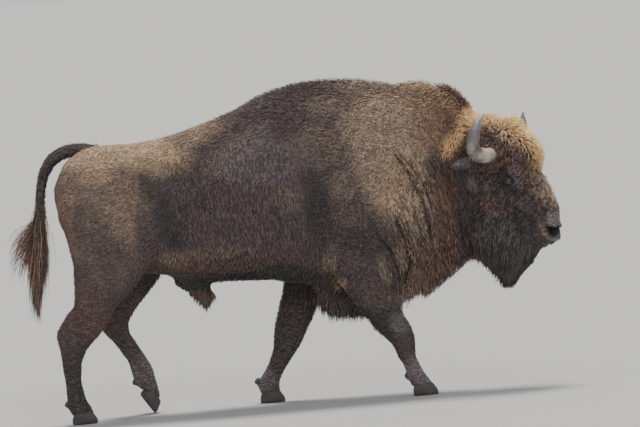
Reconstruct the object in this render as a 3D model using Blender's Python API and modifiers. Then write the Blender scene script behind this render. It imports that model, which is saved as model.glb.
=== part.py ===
"""A life-size still model of a wisent bull walking, modelled whole in its coat and then parted by thin cuts.

Metres, +Z up, +X towards the head, +Y to the animal's left. The origin is on the floor, under the
middle of the animal's box. Run with blender --background --python part.py, or from the text editor.
"""

import math

import bmesh
import bpy
import numpy as np
from mathutils import Matrix, Vector

# --- Driving dimensions -----------------------------------------------------------------------
# The tables below are drawn for a bull of this height at the withers, and everything scales with it.
WITHERS_HEIGHT = 1.795
DRAWN_HEIGHT = 1.795

BODY_VOXEL = 0.0125  # grid of the remesh that fuses the forms of the body
TAIL_VOXEL = 0.007
BODY_TRIANGLES = 2120
TAIL_TRIANGLES = 300
BODY_PASSES = 7  # rounds of smoothing that soften the creases where forms meet
TAIL_PASSES = 3
CUT_GAP = 0.0006  # width of the thin cuts between nodes
FIT_GAP = 0.0006  # gap round a horn, hoof, eye, ear or tail where it sits in the flesh

RIGHT, LEFT = -1, 1
SIDE_NAMES = {RIGHT: "right", LEFT: "left"}

# The head hangs from the poll, turned to the animal's right and tilted a little, with its face steep.
HEAD_YAW = math.radians(-24)
HEAD_TILT = math.radians(-5)
HEAD_PITCH = math.radians(58)
POLL = Vector((1.165, -0.075, 1.375))
# From head axes to the animal's: +X from poll to muzzle, +Y to the left, +Z out of the face.
HEAD = (
    Matrix.Translation(POLL)
    @ Matrix.Rotation(HEAD_YAW, 4, "Z")
    @ Matrix.Rotation(HEAD_TILT, 4, "X")
    @ Matrix.Rotation(HEAD_PITCH, 4, "Y")
)

# --- Forms of the trunk, neck and legs --------------------------------------------------------
# x, top, bottom, widest height, half width, middle y, fullness above, fullness below
TRUNK = (
    (-1.235, 1.33, 1.10, 1.22, 0.075, 0.0, 2.0, 2.0),
    (-1.19, 1.455, 0.98, 1.22, 0.165, 0.0, 2.0, 2.0),
    (-1.10, 1.520, 0.90, 1.20, 0.215, 0.0, 2.1, 2.2),
    (-0.98, 1.535, 0.84, 1.18, 0.240, 0.0, 2.0, 2.3),
    (-0.82, 1.530, 0.80, 1.15, 0.262, 0.0, 1.9, 2.3),
    (-0.65, 1.548, 0.765, 1.10, 0.295, 0.0, 1.9, 2.2),
    (-0.45, 1.598, 0.715, 1.06, 0.330, 0.0, 1.9, 2.1),
    (-0.25, 1.662, 0.700, 1.05, 0.345, 0.0, 1.8, 2.1),
    (-0.10, 1.735, 0.690, 1.05, 0.345, 0.0, 1.7, 2.1),
    (0.05, 1.780, 0.660, 1.05, 0.335, 0.0, 1.68, 2.0),
    (0.22, 1.800, 0.620, 1.05, 0.325, 0.0, 1.65, 2.0),
    (0.40, 1.795, 0.590, 1.06, 0.320, 0.0, 1.65, 2.0),
    (0.55, 1.772, 0.580, 1.08, 0.308, 0.0, 1.68, 2.0),
    (0.70, 1.738, 0.600, 1.10, 0.280, -0.005, 1.72, 2.0),
    (0.85, 1.712, 0.650, 1.14, 0.248, -0.020, 1.78, 2.0),
    (0.97, 1.655, 0.720, 1.16, 0.208, -0.040, 1.85, 2.0),
    (1.05, 1.575, 0.800, 1.17, 0.172, -0.060, 1.95, 2.0),
    (1.12, 1.470, 0.900, 1.18, 0.130, -0.075, 2.0, 2.0),
)
# The keel of long hair under the chest and throat.
CHEST_MANE = (
    (0.13, 0.80, 0.520, 0.66, 0.050, 0.0, 2.0, 1.6),
    (0.20, 0.80, 0.445, 0.64, 0.090, 0.0, 2.0, 1.5),
    (0.30, 0.80, 0.405, 0.62, 0.115, 0.0, 2.0, 1.4),
    (0.42, 0.80, 0.400, 0.62, 0.125, 0.0, 2.0, 1.4),
    (0.55, 0.82, 0.425, 0.64, 0.145, 0.0, 2.0, 1.5),
    (0.66, 0.85, 0.470, 0.68, 0.155, 0.0, 2.0, 1.6),
    (0.78, 0.90, 0.535, 0.74, 0.160, -0.010, 2.0, 1.6),
    (0.88, 0.95, 0.610, 0.80, 0.150, -0.025, 2.0, 1.6),
    (0.97, 1.00, 0.680, 0.86, 0.135, -0.045, 2.0, 1.7),
    (1.04, 1.02, 0.735, 0.90, 0.110, -0.060, 2.0, 1.8),
)
# Bone and muscle that show through the coat, on the right and mirrored: centre, radii, turn in degrees
BULGES = (
    ((-0.78, -0.132, 1.37), (0.17, 0.085, 0.11), (0, 0, 0)),  # point of the hip
    ((0.33, -0.205, 1.14), (0.20, 0.100, 0.33), (-6, 12, 0)),  # shoulder blade
    ((0.42, -0.230, 0.90), (0.17, 0.095, 0.19), (0, 0, 0)),  # point of the shoulder
    ((-0.30, -0.200, 1.10), (0.38, 0.155, 0.30), (0, 0, 0)),  # ribs
)
SCROTUM = (-1.13, 0.0, 0.86), (0.060, 0.060, 0.10)
# z, rear x, front x, middle y, half width
FRONT_RIGHT = (
    (1.06, 0.20, 0.56, -0.205, 0.105),
    (0.90, 0.19, 0.59, -0.225, 0.115),
    (0.76, 0.22, 0.600, -0.230, 0.115),
    (0.66, 0.265, 0.600, -0.228, 0.108),
    (0.57, 0.320, 0.600, -0.225, 0.098),
    (0.50, 0.362, 0.605, -0.222, 0.088),
    (0.44, 0.398, 0.628, -0.220, 0.080),
    (0.39, 0.432, 0.652, -0.218, 0.076),
    (0.34, 0.468, 0.664, -0.216, 0.073),
    (0.29, 0.503, 0.664, -0.214, 0.066),
    (0.24, 0.540, 0.660, -0.212, 0.056),
    (0.19, 0.572, 0.668, -0.210, 0.050),
    (0.15, 0.588, 0.685, -0.210, 0.054),
    (0.11, 0.594, 0.710, -0.210, 0.061),
    (0.075, 0.606, 0.736, -0.210, 0.060),
    (0.045, 0.618, 0.742, -0.210, 0.054),
)
FRONT_LEFT = (
    (1.00, 0.06, 0.44, 0.205, 0.105),
    (0.84, 0.00, 0.36, 0.225, 0.112),
    (0.72, -0.045, 0.275, 0.228, 0.106),
    (0.63, -0.058, 0.215, 0.226, 0.098),
    (0.55, -0.085, 0.168, 0.222, 0.090),
    (0.48, -0.105, 0.130, 0.218, 0.082),
    (0.42, -0.122, 0.096, 0.214, 0.076),
    (0.36, -0.132, 0.058, 0.210, 0.073),
    (0.31, -0.136, 0.030, 0.208, 0.069),
    (0.26, -0.152, -0.008, 0.206, 0.060),
    (0.21, -0.178, -0.048, 0.205, 0.052),
    (0.16, -0.212, -0.082, 0.205, 0.052),
    (0.12, -0.240, -0.104, 0.205, 0.060),
    (0.08, -0.240, -0.110, 0.205, 0.060),
    (0.045, -0.228, -0.110, 0.205, 0.054),
)
HIND_RIGHT = (
    (1.36, -1.13, -0.93, -0.100, 0.060),
    (1.27, -1.205, -0.86, -0.130, 0.098),
    (1.14, -1.240, -0.78, -0.148, 0.126),
    (1.00, -1.215, -0.72, -0.160, 0.130),
    (0.89, -1.203, -0.735, -0.165, 0.118),
    (0.80, -1.203, -0.800, -0.168, 0.104),
    (0.73, -1.207, -0.862, -0.170, 0.092),
    (0.67, -1.222, -0.930, -0.170, 0.082),
    (0.62, -1.252, -0.975, -0.170, 0.073),
    (0.57, -1.290, -1.005, -0.170, 0.066),
    (0.53, -1.322, -1.030, -0.170, 0.063),
    (0.49, -1.328, -1.062, -0.170, 0.064),
    (0.45, -1.318, -1.108, -0.170, 0.062),
    (0.41, -1.312, -1.150, -0.170, 0.056),
    (0.36, -1.308, -1.178, -0.170, 0.050),
    (0.29, -1.303, -1.193, -0.170, 0.046),
    (0.22, -1.299, -1.196, -0.170, 0.047),
    (0.16, -1.298, -1.186, -0.170, 0.055),
    (0.11, -1.297, -1.166, -0.170, 0.061),
    (0.075, -1.288, -1.145, -0.170, 0.060),
    (0.045, -1.275, -1.142, -0.170, 0.054),
)
HIND_LEFT = (
    (1.34, -1.08, -0.86, 0.100, 0.060),
    (1.23, -1.16, -0.78, 0.130, 0.098),
    (1.08, -1.17, -0.68, 0.150, 0.126),
    (0.94, -1.14, -0.63, 0.162, 0.126),
    (0.84, -1.115, -0.655, 0.166, 0.112),
    (0.77, -1.10, -0.705, 0.168, 0.100),
    (0.70, -1.09, -0.768, 0.170, 0.088),
    (0.64, -1.088, -0.828, 0.170, 0.078),
    (0.58, -1.092, -0.882, 0.170, 0.070),
    (0.53, -1.096, -0.918, 0.170, 0.064),
    (0.48, -1.085, -0.925, 0.170, 0.062),
    (0.44, -1.052, -0.908, 0.170, 0.058),
    (0.39, -1.010, -0.880, 0.170, 0.051),
    (0.34, -0.978, -0.852, 0.170, 0.047),
    (0.28, -0.950, -0.820, 0.170, 0.048),
    (0.22, -0.938, -0.803, 0.170, 0.055),
    (0.165, -0.924, -0.792, 0.170, 0.059),
    (0.12, -0.893, -0.785, 0.170, 0.057),
    (0.085, -0.850, -0.782, 0.170, 0.048),
)
# x, y, z, radius
SHEATH = (
    (-0.64, 0.0, 0.765, 0.050),
    (-0.57, 0.0, 0.730, 0.060),
    (-0.505, 0.0, 0.690, 0.056),
    (-0.470, 0.0, 0.650, 0.040),
    (-0.475, 0.0, 0.605, 0.028),
    (-0.487, 0.0, 0.545, 0.018),
)
TAIL = (
    (-1.06, 0.0, 1.485, 0.036),
    (-1.11, 0.0, 1.508, 0.037),
    (-1.18, 0.0, 1.502, 0.034),
    (-1.255, 0.0, 1.468, 0.031),
    (-1.305, 0.0, 1.405, 0.029),
    (-1.335, 0.0, 1.320, 0.027),
    (-1.347, 0.0, 1.230, 0.027),
    (-1.355, 0.0, 1.140, 0.030),
    (-1.368, 0.0, 1.060, 0.043),
    (-1.378, 0.0, 0.980, 0.053),
    (-1.385, 0.0, 0.900, 0.049),
    (-1.398, 0.0, 0.820, 0.037),
    (-1.415, 0.0, 0.740, 0.029),
    (-1.428, 0.0, 0.660, 0.025),
    (-1.440, 0.0, 0.590, 0.020),
    (-1.449, 0.0, 0.545, 0.014),
)
TAIL_WISP = (
    (-1.375, 0.010, 1.080, 0.026),
    (-1.420, 0.018, 1.010, 0.027),
    (-1.470, 0.024, 0.950, 0.023),
    (-1.520, 0.028, 0.900, 0.018),
    (-1.556, 0.030, 0.864, 0.013),
)

# --- Forms of the head, in head axes ----------------------------------------------------------
# along the face, top, bottom, widest height, half width, middle, fullness above, fullness below
FACE = (
    (-0.06, 0.045, -0.300, -0.100, 0.150, 0.0, 2.0, 2.0),
    (0.02, 0.090, -0.300, -0.080, 0.168, 0.0, 2.1, 2.0),
    (0.12, 0.130, -0.290, -0.070, 0.174, 0.0, 2.1, 2.0),
    (0.22, 0.150, -0.275, -0.060, 0.168, 0.0, 2.0, 2.0),
    (0.31, 0.150, -0.250, -0.055, 0.148, 0.0, 2.0, 2.0),
    (0.39, 0.141, -0.220, -0.050, 0.125, 0.0, 2.0, 2.0),
    (0.47, 0.131, -0.190, -0.040, 0.106, 0.0, 2.0, 2.1),
    (0.54, 0.116, -0.160, -0.025, 0.095, 0.0, 2.1, 2.2),
    (0.60, 0.089, -0.132, -0.015, 0.092, 0.0, 2.3, 2.4),
    (0.65, 0.068, -0.112, -0.015, 0.087, 0.0, 2.4, 2.5),
    (0.69, 0.034, -0.085, -0.020, 0.068, 0.0, 2.4, 2.5),
)
# Balls of unlike radii: centre, radii
MOP = (0.145, 0.0, 0.095), (0.190, 0.168, 0.120)
CREST = (0.010, 0.0, 0.020), (0.110, 0.168, 0.098)
BROW = (0.275, 0.105, 0.050), (0.085, 0.048, 0.055)
CHEEK = (0.240, 0.095, -0.120), (0.180, 0.080, 0.120)
# The beard hangs straight down: z, rear x, front x, middle y, half width
BEARD = (
    (1.02, 1.020, 1.300, -0.165, 0.130),
    (0.93, 1.000, 1.350, -0.170, 0.135),
    (0.85, 1.000, 1.390, -0.172, 0.122),
    (0.78, 1.010, 1.408, -0.175, 0.106),
    (0.725, 1.035, 1.388, -0.175, 0.094),
    (0.68, 1.075, 1.353, -0.175, 0.082),
    (0.63, 1.120, 1.297, -0.175, 0.066),
    (0.585, 1.150, 1.262, -0.175, 0.050),
    (0.540, 1.172, 1.240, -0.175, 0.032),
)
# On the right of the head and mirrored to the left: along the face, across, out of it, radius
HORN = (
    (0.136, -0.085, 0.016, 0.047),
    (0.134, -0.150, 0.009, 0.045),
    (0.122, -0.218, -0.010, 0.043),
    (0.096, -0.279, -0.015, 0.042),
    (0.063, -0.303, 0.005, 0.040),
    (0.027, -0.304, 0.039, 0.035),
    (-0.008, -0.285, 0.072, 0.027),
    (-0.035, -0.260, 0.101, 0.016),
    (-0.055, -0.236, 0.134, 0.005),
)
EYE, EYE_RADIUS = (0.297, -0.136, 0.005), 0.022
EAR_ROOT, EAR_TIP, EAR_FACING = (0.178, -0.126, -0.126), (0.056, -0.300, -0.166), (0.37, -0.71, 0.59)
# Share of the ear's length, half width, half thickness
EAR = (
    (0.00, 0.024, 0.018),
    (0.20, 0.044, 0.019),
    (0.45, 0.064, 0.018),
    (0.70, 0.062, 0.015),
    (0.90, 0.036, 0.011),
    (1.00, 0.010, 0.006),
)
EAR_CUPPING = 6.0  # how far the ear's rims bend towards its opening, per metre of half width squared

# --- Feet -------------------------------------------------------------------------------------
# Leg, side: the sole's middle, toe-down pitch in degrees, where the dewclaws sit, x and z
FEET = {
    ("fore", RIGHT): ((0.692, -0.210, 0.0), 0, (0.600, 0.108)),
    ("fore", LEFT): ((-0.163, 0.205, 0.0), 0, (-0.238, 0.118)),
    ("hind", RIGHT): ((-1.205, -0.170, 0.0), 0, (-1.292, 0.110)),
    ("hind", LEFT): ((-0.868, 0.170, 0.066), 57, (-0.922, 0.178)),
}
# z, rear x, front x, half width, all from the sole's middle
CLAW = (
    (0.000, -0.066, 0.082, 0.0275),
    (0.014, -0.069, 0.078, 0.0295),
    (0.048, -0.067, 0.061, 0.0300),
    (0.070, -0.058, 0.046, 0.0260),
)
CLAW_OFFSET = 0.0325  # from the foot's middle to a claw's
CLAW_TAPER = 0.22  # how much narrower the toe is than the heel
DEWCLAW_OFFSET = 0.026
DEWCLAW_RADII = (0.017, 0.014, 0.021)
DEWCLAW_LEAN = 20  # degrees
CLEFT_FLATNESS = 0.85  # half width of a claw on the side of the cleft, as a share of its other half

# --- Where the flesh is parted ----------------------------------------------------------------
OUTSIDE = 0.6  # a distance across, clear of the whole body
# Each block that takes a leg off the trunk: top rear, top front, bottom rear and bottom front x and z,
# and how far it starts from the middle
LEG_BLOCKS = {
    ("fore", RIGHT): ((0.19, 0.86), (0.56, 0.96), (0.36, -0.1), (0.82, -0.1), 0.122),
    ("fore", LEFT): ((-0.06, 0.82), (0.40, 0.93), (-0.36, -0.1), (0.02, -0.1), 0.122),
    ("hind", RIGHT): ((-1.50, 1.12), (-0.68, 1.03), (-1.50, -0.1), (-0.98, -0.1), 0.035),
    ("hind", LEFT): ((-1.50, 1.10), (-0.60, 1.00), (-1.50, -0.1), (-0.66, -0.1), 0.035),
}
# The cuts across each leg: the lower piece, x and z, and the lean of the cut's downward normal
LEG_CUTS = {
    ("fore", RIGHT): (("forearm", (0.46, 0.66), -70), ("cannon", (0.56, 0.33), -65)),
    ("fore", LEFT): (("forearm", (0.10, 0.63), -105), ("cannon", (-0.05, 0.32), -110)),
    ("hind", RIGHT): (("gaskin", (-1.02, 0.74), -110), ("cannon", (-1.24, 0.42), -90)),
    ("hind", LEFT): (("gaskin", (-0.92, 0.76), -100), ("cannon", (-0.97, 0.42), -60)),
}
UPPER_LEG = {"fore": "shoulder", "hind": "thigh"}
SHEATH_BLOCK = ((-0.76, 0.775), (-0.40, 0.715)), ((-0.76, 0.4), (-0.40, 0.4))
SHEATH_HALF_WIDTH = 0.085
# Point x and z, and the lean of the normal towards the piece that is cut off
BARREL_CUT = (-0.62, 1.10), 8
WITHERS_CUT = (0.02, 1.10), -6
NECK_CUT = (0.83, 1.10), -9
CHEST_MANE_CUT = (0.45, 0.605), -84
HEAD_CUT = (1.053, 1.10), -7
BEARD_CUT = (1.24, 0.800), -103
TAIL_TUFT_CUT = (-1.36, 1.085), -90
# The same in head axes
MUZZLE_CUT = (0.535, 0.0), 0
FORELOCK_CUT = (0.13, 0.106), 102


# --- Making forms -----------------------------------------------------------------------------
def new_collection(name, hidden=False):
    made = bpy.data.collections.new(name)
    made.hide_render = hidden
    bpy.context.scene.collection.children.link(made)
    return made


def mesh_of(bm, name):
    bmesh.ops.recalc_face_normals(bm, faces=bm.faces)
    mesh = bpy.data.meshes.new(name)
    bm.to_mesh(mesh)
    bm.free()
    return mesh


def add_object(name, mesh, collection):
    made = bpy.data.objects.new(name, mesh)
    collection.objects.link(made)
    return made


def smooth_rows(rows, steps=3):
    """Rows of numbers, with steps - 1 more between each pair on a Catmull-Rom curve."""
    rows = np.array(rows, float)
    ends = np.vstack([2 * rows[0] - rows[1], rows, 2 * rows[-1] - rows[-2]])
    found = []
    for before, start, end, after in zip(ends, ends[1:], ends[2:], ends[3:]):
        for step in range(steps):
            t = step / steps
            found.append(
                start
                + 0.5 * t * (end - before)
                + t**2 * (before - 2.5 * start + 2 * end - 0.5 * after)
                + t**3 * (1.5 * (start - end) + 0.5 * (after - before))
            )
    return np.array(found + [rows[-1]])


def rounded_ring(half_width, rise, drop, fullness_up=2.0, fullness_down=2.0, count=24):
    """(across, up) points of a closed outline: superellipse halves of unlike height, 2 being an ellipse."""
    points = []
    for step in range(count):
        angle = 2 * math.pi * step / count
        across, up = math.cos(angle), math.sin(angle)
        height, fullness = (rise, fullness_up) if up >= 0 else (drop, fullness_down)
        points.append(
            (
                half_width * math.copysign(abs(across) ** (2 / fullness), across),
                height * math.copysign(abs(up) ** (2 / fullness), up),
            )
        )
    return points


def loft(bm, rings):
    """Joins closed rings of equal count into one closed skin, with a flat cap at each end."""
    rows = [[bm.verts.new(point) for point in ring] for ring in rings]
    for near, far in zip(rows, rows[1:]):
        for k in range(len(near)):
            after = (k + 1) % len(near)
            bm.faces.new((near[k], near[after], far[after], far[k]))
    bm.faces.new(list(reversed(rows[0])))
    bm.faces.new(rows[-1])


def along_x(bm, rows, matrix=Matrix.Identity(4), count=48):
    """A loft of upright sections.

    The rows hold x, top, bottom, widest height, half width, middle y and the two fullnesses.
    """
    rings = []
    for x, top, bottom, widest, half_width, middle, above, below in smooth_rows(rows):
        outline = rounded_ring(half_width, top - widest, widest - bottom, above, below, count)
        rings.append([matrix @ Vector((x, middle + a, widest + u)) for a, u in outline])
    loft(bm, rings)


def down_z(bm, rows, turn=0.0):
    """A limb of level sections, each turned about its middle.

    The rows hold z, rear x, front x, middle y and half width.
    """
    rings = []
    for z, rear, front, middle, half_width in smooth_rows(rows):
        centre = Vector(((rear + front) / 2, middle, z))
        half_length = (front - rear) / 2 / math.cos(turn)
        outline = rounded_ring(half_width, half_length, half_length, 2.2, 2.2)
        rings.append([centre + Matrix.Rotation(turn, 3, "Z") @ Vector((u, a, 0)) for a, u in outline])
    loft(bm, rings)


def tube(bm, rows, steps=3, count=16, matrix=Matrix.Identity(4)):
    """A round limb along a bent line: rows of x, y, z, radius."""
    rows = smooth_rows(rows, steps)
    points = [matrix @ Vector(row[:3]) for row in rows]
    side = Vector((0, 1, 0))
    rings = []
    for k, point in enumerate(points):
        along = (points[min(k + 1, len(points) - 1)] - points[max(k - 1, 0)]).normalized()
        side = (side - along * side.dot(along)).normalized()
        other = along.cross(side)
        radius = float(rows[k][3])
        turns = [2 * math.pi * step / count for step in range(count)]
        rings.append([point + radius * (math.cos(t) * side + math.sin(t) * other) for t in turns])
    loft(bm, rings)


def ellipsoid(bm, centre, radii, matrix=Matrix.Identity(4), turn=(0, 0, 0), segments=20, rings=12):
    """A ball of unlike radii at a centre given in the matrix's axes, turned by degrees about its own."""
    rotation = Matrix.Identity(4)
    for angle, axis in zip(turn, "XYZ"):
        rotation = rotation @ Matrix.Rotation(math.radians(angle), 4, axis)
    place = matrix @ Matrix.Translation(centre) @ rotation @ Matrix.Diagonal((*radii, 1))
    bmesh.ops.create_uvsphere(bm, u_segments=segments, v_segments=rings, radius=1, matrix=place)


def across(point, side):
    """A point given for the right side, mirrored when side is LEFT."""
    return (point[0], -side * point[1], point[2])


# --- The flesh, in its coat -------------------------------------------------------------------
def trunk_forms(bm):
    along_x(bm, TRUNK)
    along_x(bm, CHEST_MANE)
    for centre, radii, (roll, pitch, yaw) in BULGES:
        for side in (RIGHT, LEFT):
            ellipsoid(bm, across(centre, side), radii, turn=(-side * roll, pitch, -side * yaw))
    ellipsoid(bm, *SCROTUM)


def limb_forms(bm):
    for leg in (FRONT_RIGHT, FRONT_LEFT, HIND_RIGHT, HIND_LEFT):
        down_z(bm, leg)
    tube(bm, SHEATH)


def head_forms(bm):
    along_x(bm, FACE, HEAD)
    down_z(bm, BEARD, HEAD_YAW)
    ellipsoid(bm, *MOP, HEAD)
    ellipsoid(bm, *CREST, HEAD)
    for centre, radii in (BROW, CHEEK):
        for side in (RIGHT, LEFT):
            ellipsoid(bm, across(centre, side), radii, HEAD)


def tail_forms(bm):
    tube(bm, TAIL)
    tube(bm, TAIL_WISP)


def fused(name, forms, voxel, passes, triangles):
    """The forms as one closed, smoothed skin of about the triangles asked for."""
    bm = bmesh.new()
    for add in forms:
        add(bm)
    made = add_object(name, mesh_of(bm, name), wisent)
    remesh = made.modifiers.new("fuse", "REMESH")
    remesh.mode = "VOXEL"
    remesh.voxel_size = voxel
    soften = made.modifiers.new("soften", "SMOOTH")
    soften.factor = 0.5
    soften.iterations = passes
    apply_modifiers(made)
    made.data.calc_loop_triangles()
    thin = made.modifiers.new("thin", "DECIMATE")
    thin.ratio = triangles / len(made.data.loop_triangles)
    thin.use_collapse_triangulate = True
    apply_modifiers(made)
    return made


def apply_modifiers(made):
    graph = bpy.context.evaluated_depsgraph_get()
    mesh = bpy.data.meshes.new_from_object(made.evaluated_get(graph))
    made.modifiers.clear()
    made.data = mesh


# --- Pieces that sit in the flesh -------------------------------------------------------------
def horn(bm, side):
    tube(bm, [(*across(row, side), row[3]) for row in HORN], steps=1, count=12, matrix=HEAD)


def eye(bm, side):
    ellipsoid(bm, across(EYE, side), [EYE_RADIUS] * 3, HEAD, segments=12, rings=7)


def ear(bm, side):
    """A cupped leaf: flat sections along the ear, with their rims bent towards its opening."""
    root, tip, facing = (Vector(across(point, side)) for point in (EAR_ROOT, EAR_TIP, EAR_FACING))
    along = tip - root
    facing = (facing - along * facing.dot(along) / along.length_squared).normalized()
    broad = facing.cross(along).normalized()
    rings = []
    for share, half_width, half_thickness in EAR:
        ring = []
        for a, u in rounded_ring(half_width, half_thickness, half_thickness, count=10):
            bend = EAR_CUPPING * a * a
            ring.append(HEAD @ (root + along * share + broad * a + facing * (u + bend)))
        rings.append(ring)
    loft(bm, rings)


def foot_matrix(foot):
    centre, pitch, _ = FEET[foot]
    return Matrix.Translation(centre) @ Matrix.Rotation(math.radians(pitch), 4, "Y")


def claw(bm, foot, digit):
    """One half of a cloven hoof: level sections, narrower at the toe and flatter towards the cleft."""
    place = foot_matrix(foot)
    rings = []
    for z, rear, front, half_width in CLAW:
        ring = []
        for a, u in rounded_ring(1, 1, 1, 2.3, 2.3, count=10):
            half = half_width * (1 - CLAW_TAPER * max(u, 0))
            flatness = CLEFT_FLATNESS if a * digit < 0 else 1
            x = (rear + front) / 2 + u * (front - rear) / 2
            ring.append(place @ Vector((x, digit * CLAW_OFFSET + a * half * flatness, z)))
        rings.append(ring)
    loft(bm, rings)
    everything = bm.verts[:] + bm.edges[:] + bm.faces[:]
    bmesh.ops.bisect_plane(bm, geom=everything, plane_co=(0, 0, 0), plane_no=(0, 0, -1), clear_outer=True)
    bmesh.ops.holes_fill(bm, edges=[edge for edge in bm.edges if edge.is_boundary])


def dewclaw(bm, foot, digit):
    (_, y, _), pitch, (x, z) = FEET[foot]
    centre = (x, y + digit * DEWCLAW_OFFSET, z)
    turn = (0, pitch / 2 + DEWCLAW_LEAN, 0)
    ellipsoid(bm, centre, DEWCLAW_RADII, turn=turn, segments=7, rings=5)


def inflated(source, gap):
    """A copy of the mesh with every face moved out by the gap."""
    bm = bmesh.new()
    bm.from_mesh(source)
    bmesh.ops.recalc_face_normals(bm, faces=bm.faces)
    bm.normal_update()
    moves = [vert.normal * gap * vert.calc_shell_factor() for vert in bm.verts]
    for vert, move in zip(bm.verts, moves):
        vert.co += move
    return mesh_of(bm, source.name + "_room")


# --- Parting the flesh ------------------------------------------------------------------------
def combine(made, cutter, operation):
    """The object's mesh after a Boolean with the cutter, applied."""
    modifier = made.modifiers.new("part", "BOOLEAN")
    modifier.operation = operation
    modifier.solver = "EXACT"
    modifier.object = cutter
    apply_modifiers(made)


def add_cutter(name, mesh):
    made = add_object(name, mesh, cutters)
    made.hide_render = True
    made.display_type = "WIRE"
    return made


def cell(name, side, y_inner, y_outer, top, bottom):
    """A block of space between two distances across, with the rear and front (x, z) of its top and bottom."""
    bm = bmesh.new()
    outline = (top[0], top[1], bottom[1], bottom[0])
    loft(bm, [[(x, side * y, z) for x, z in outline] for y in (y_inner, y_outer)])
    return add_cutter(name, mesh_of(bm, name))


def taken_out(body, block, name):
    """The part of the body inside the block, as an object of its own, cut away with a thin gap."""
    piece = add_object(name, body.data.copy(), wisent)
    combine(piece, block, "INTERSECT")
    largest_part(piece)
    room = add_cutter(block.name + "_room", inflated(block.data, CUT_GAP))
    combine(body, room, "DIFFERENCE")
    largest_part(body)
    return piece


def largest_part(made):
    """Leaves out crumbs that a cut has set free."""
    bm = bmesh.new()
    bm.from_mesh(made.data)
    bm.faces.ensure_lookup_table()
    waiting, parts = set(bm.faces), []
    while waiting:
        front, part = [waiting.pop()], []
        while front:
            face = front.pop()
            part.append(face)
            near = {other for edge in face.edges for other in edge.link_faces} & waiting
            waiting -= near
            front.extend(near)
        parts.append(part)
    parts.sort(key=lambda part: sum(face.calc_area() for face in part))
    crumbs = [face for part in parts[:-1] for face in part]
    bmesh.ops.delete(bm, geom=crumbs, context="FACES")
    bm.to_mesh(made.data)
    bm.free()


def half(source, point, normal, name):
    """The part of the mesh on the side of the plane that the normal points to, closed at the cut."""
    bm = bmesh.new()
    bm.from_mesh(source)
    everything = bm.verts[:] + bm.edges[:] + bm.faces[:]
    bmesh.ops.bisect_plane(bm, geom=everything, dist=1e-6, plane_co=point, plane_no=normal, clear_inner=True)
    bmesh.ops.holes_fill(bm, edges=[edge for edge in bm.edges if edge.is_boundary])
    bmesh.ops.triangulate(bm, faces=[face for face in bm.faces if len(face.verts) > 4])
    return mesh_of(bm, name)


def parted(piece, point, tilt, name, matrix=Matrix.Identity(4)):
    """Cuts off what lies beyond a plane square to the X-Z plane, and returns it.

    The plane's normal leans by tilt degrees from +X towards +Z, in the matrix's axes.
    """
    angle = math.radians(tilt)
    normal = matrix.to_3x3() @ Vector((math.cos(angle), 0, math.sin(angle)))
    centre = matrix @ Vector((point[0], 0, point[1]))
    beyond = half(piece.data, centre + normal * CUT_GAP / 2, normal, name)
    piece.data = half(piece.data, centre - normal * CUT_GAP / 2, -normal, piece.name)
    made = add_object(name, beyond, wisent)
    largest_part(piece)
    largest_part(made)
    return made


# --- Finishes ---------------------------------------------------------------------------------
# Node name's start: sRGB colour, roughness
FINISHES = {
    "horn": ((100, 95, 92), 0.45),
    "eye": ((22, 16, 13), 0.08),
    "hoof": ((48, 44, 42), 0.55),
    "dewclaw": ((52, 47, 44), 0.6),
    "ear": ((80, 66, 62), 0.95),
    "forelock": ((150, 118, 90), 0.95),
    "muzzle": ((66, 60, 60), 0.7),
    "beard": ((59, 56, 57), 0.95),
    "head": ((84, 70, 66), 0.95),
    "neck": ((112, 94, 80), 0.95),
    "withers": ((88, 74, 68), 0.95),
    "chest": ((70, 58, 55), 0.95),
    "barrel": ((74, 62, 60), 0.95),
    "rump": ((108, 92, 80), 0.95),
    "sheath": ((92, 64, 48), 0.95),
    "tail": ((58, 52, 50), 0.95),
    "shoulder": ((70, 59, 57), 0.95),
    "forearm": ((66, 58, 58), 0.95),
    "thigh": ((94, 78, 71), 0.95),
    "gaskin": ((77, 64, 59), 0.95),
    "cannon": ((62, 58, 56), 0.95),
}


def linear(channel):
    value = channel / 255
    return value / 12.92 if value <= 0.04045 else ((value + 0.055) / 1.055) ** 2.4


def finish(made):
    """A material of the node's own."""
    colour, roughness = next(FINISHES[start] for start in FINISHES if made.name.startswith(start))
    material = bpy.data.materials.new(made.name)
    material.use_nodes = True
    shader = material.node_tree.nodes["Principled BSDF"].inputs
    shader["Base Color"].default_value = (*map(linear, colour), 1)
    shader["Roughness"].default_value = roughness
    shader["Metallic"].default_value = 0
    made.data.materials.clear()
    made.data.materials.append(material)


# --- Assembly ---------------------------------------------------------------------------------
def seated_pieces():
    """Horns, eyes, ears, claws, dewclaws and the tail, each an object, with the flesh still uncut."""
    made = []

    def add(name, form, *choices):
        bm = bmesh.new()
        form(bm, *choices)
        bmesh.ops.triangulate(bm, faces=bm.faces)  # so that a seat folds its faces the same way
        made.append(add_object(name, mesh_of(bm, name), wisent))

    for side, word in SIDE_NAMES.items():
        add(f"horn_{word}", horn, side)
        add(f"eye_{word}", eye, side)
        add(f"ear_{word}", ear, side)
        for leg in ("fore", "hind"):
            for digit, place in ((side, "outer"), (-side, "inner")):
                add(f"hoof_{leg}_{word}_{place}", claw, (leg, side), digit)
                add(f"dewclaw_{leg}_{word}_{place}", dewclaw, (leg, side), digit)
    return made


def make_room(body, pieces):
    """Cuts the pieces' seats out of the body."""
    for piece in pieces:
        room = add_cutter(piece.name + "_seat", inflated(piece.data, FIT_GAP))
        combine(body, room, "DIFFERENCE")
    largest_part(body)


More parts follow.
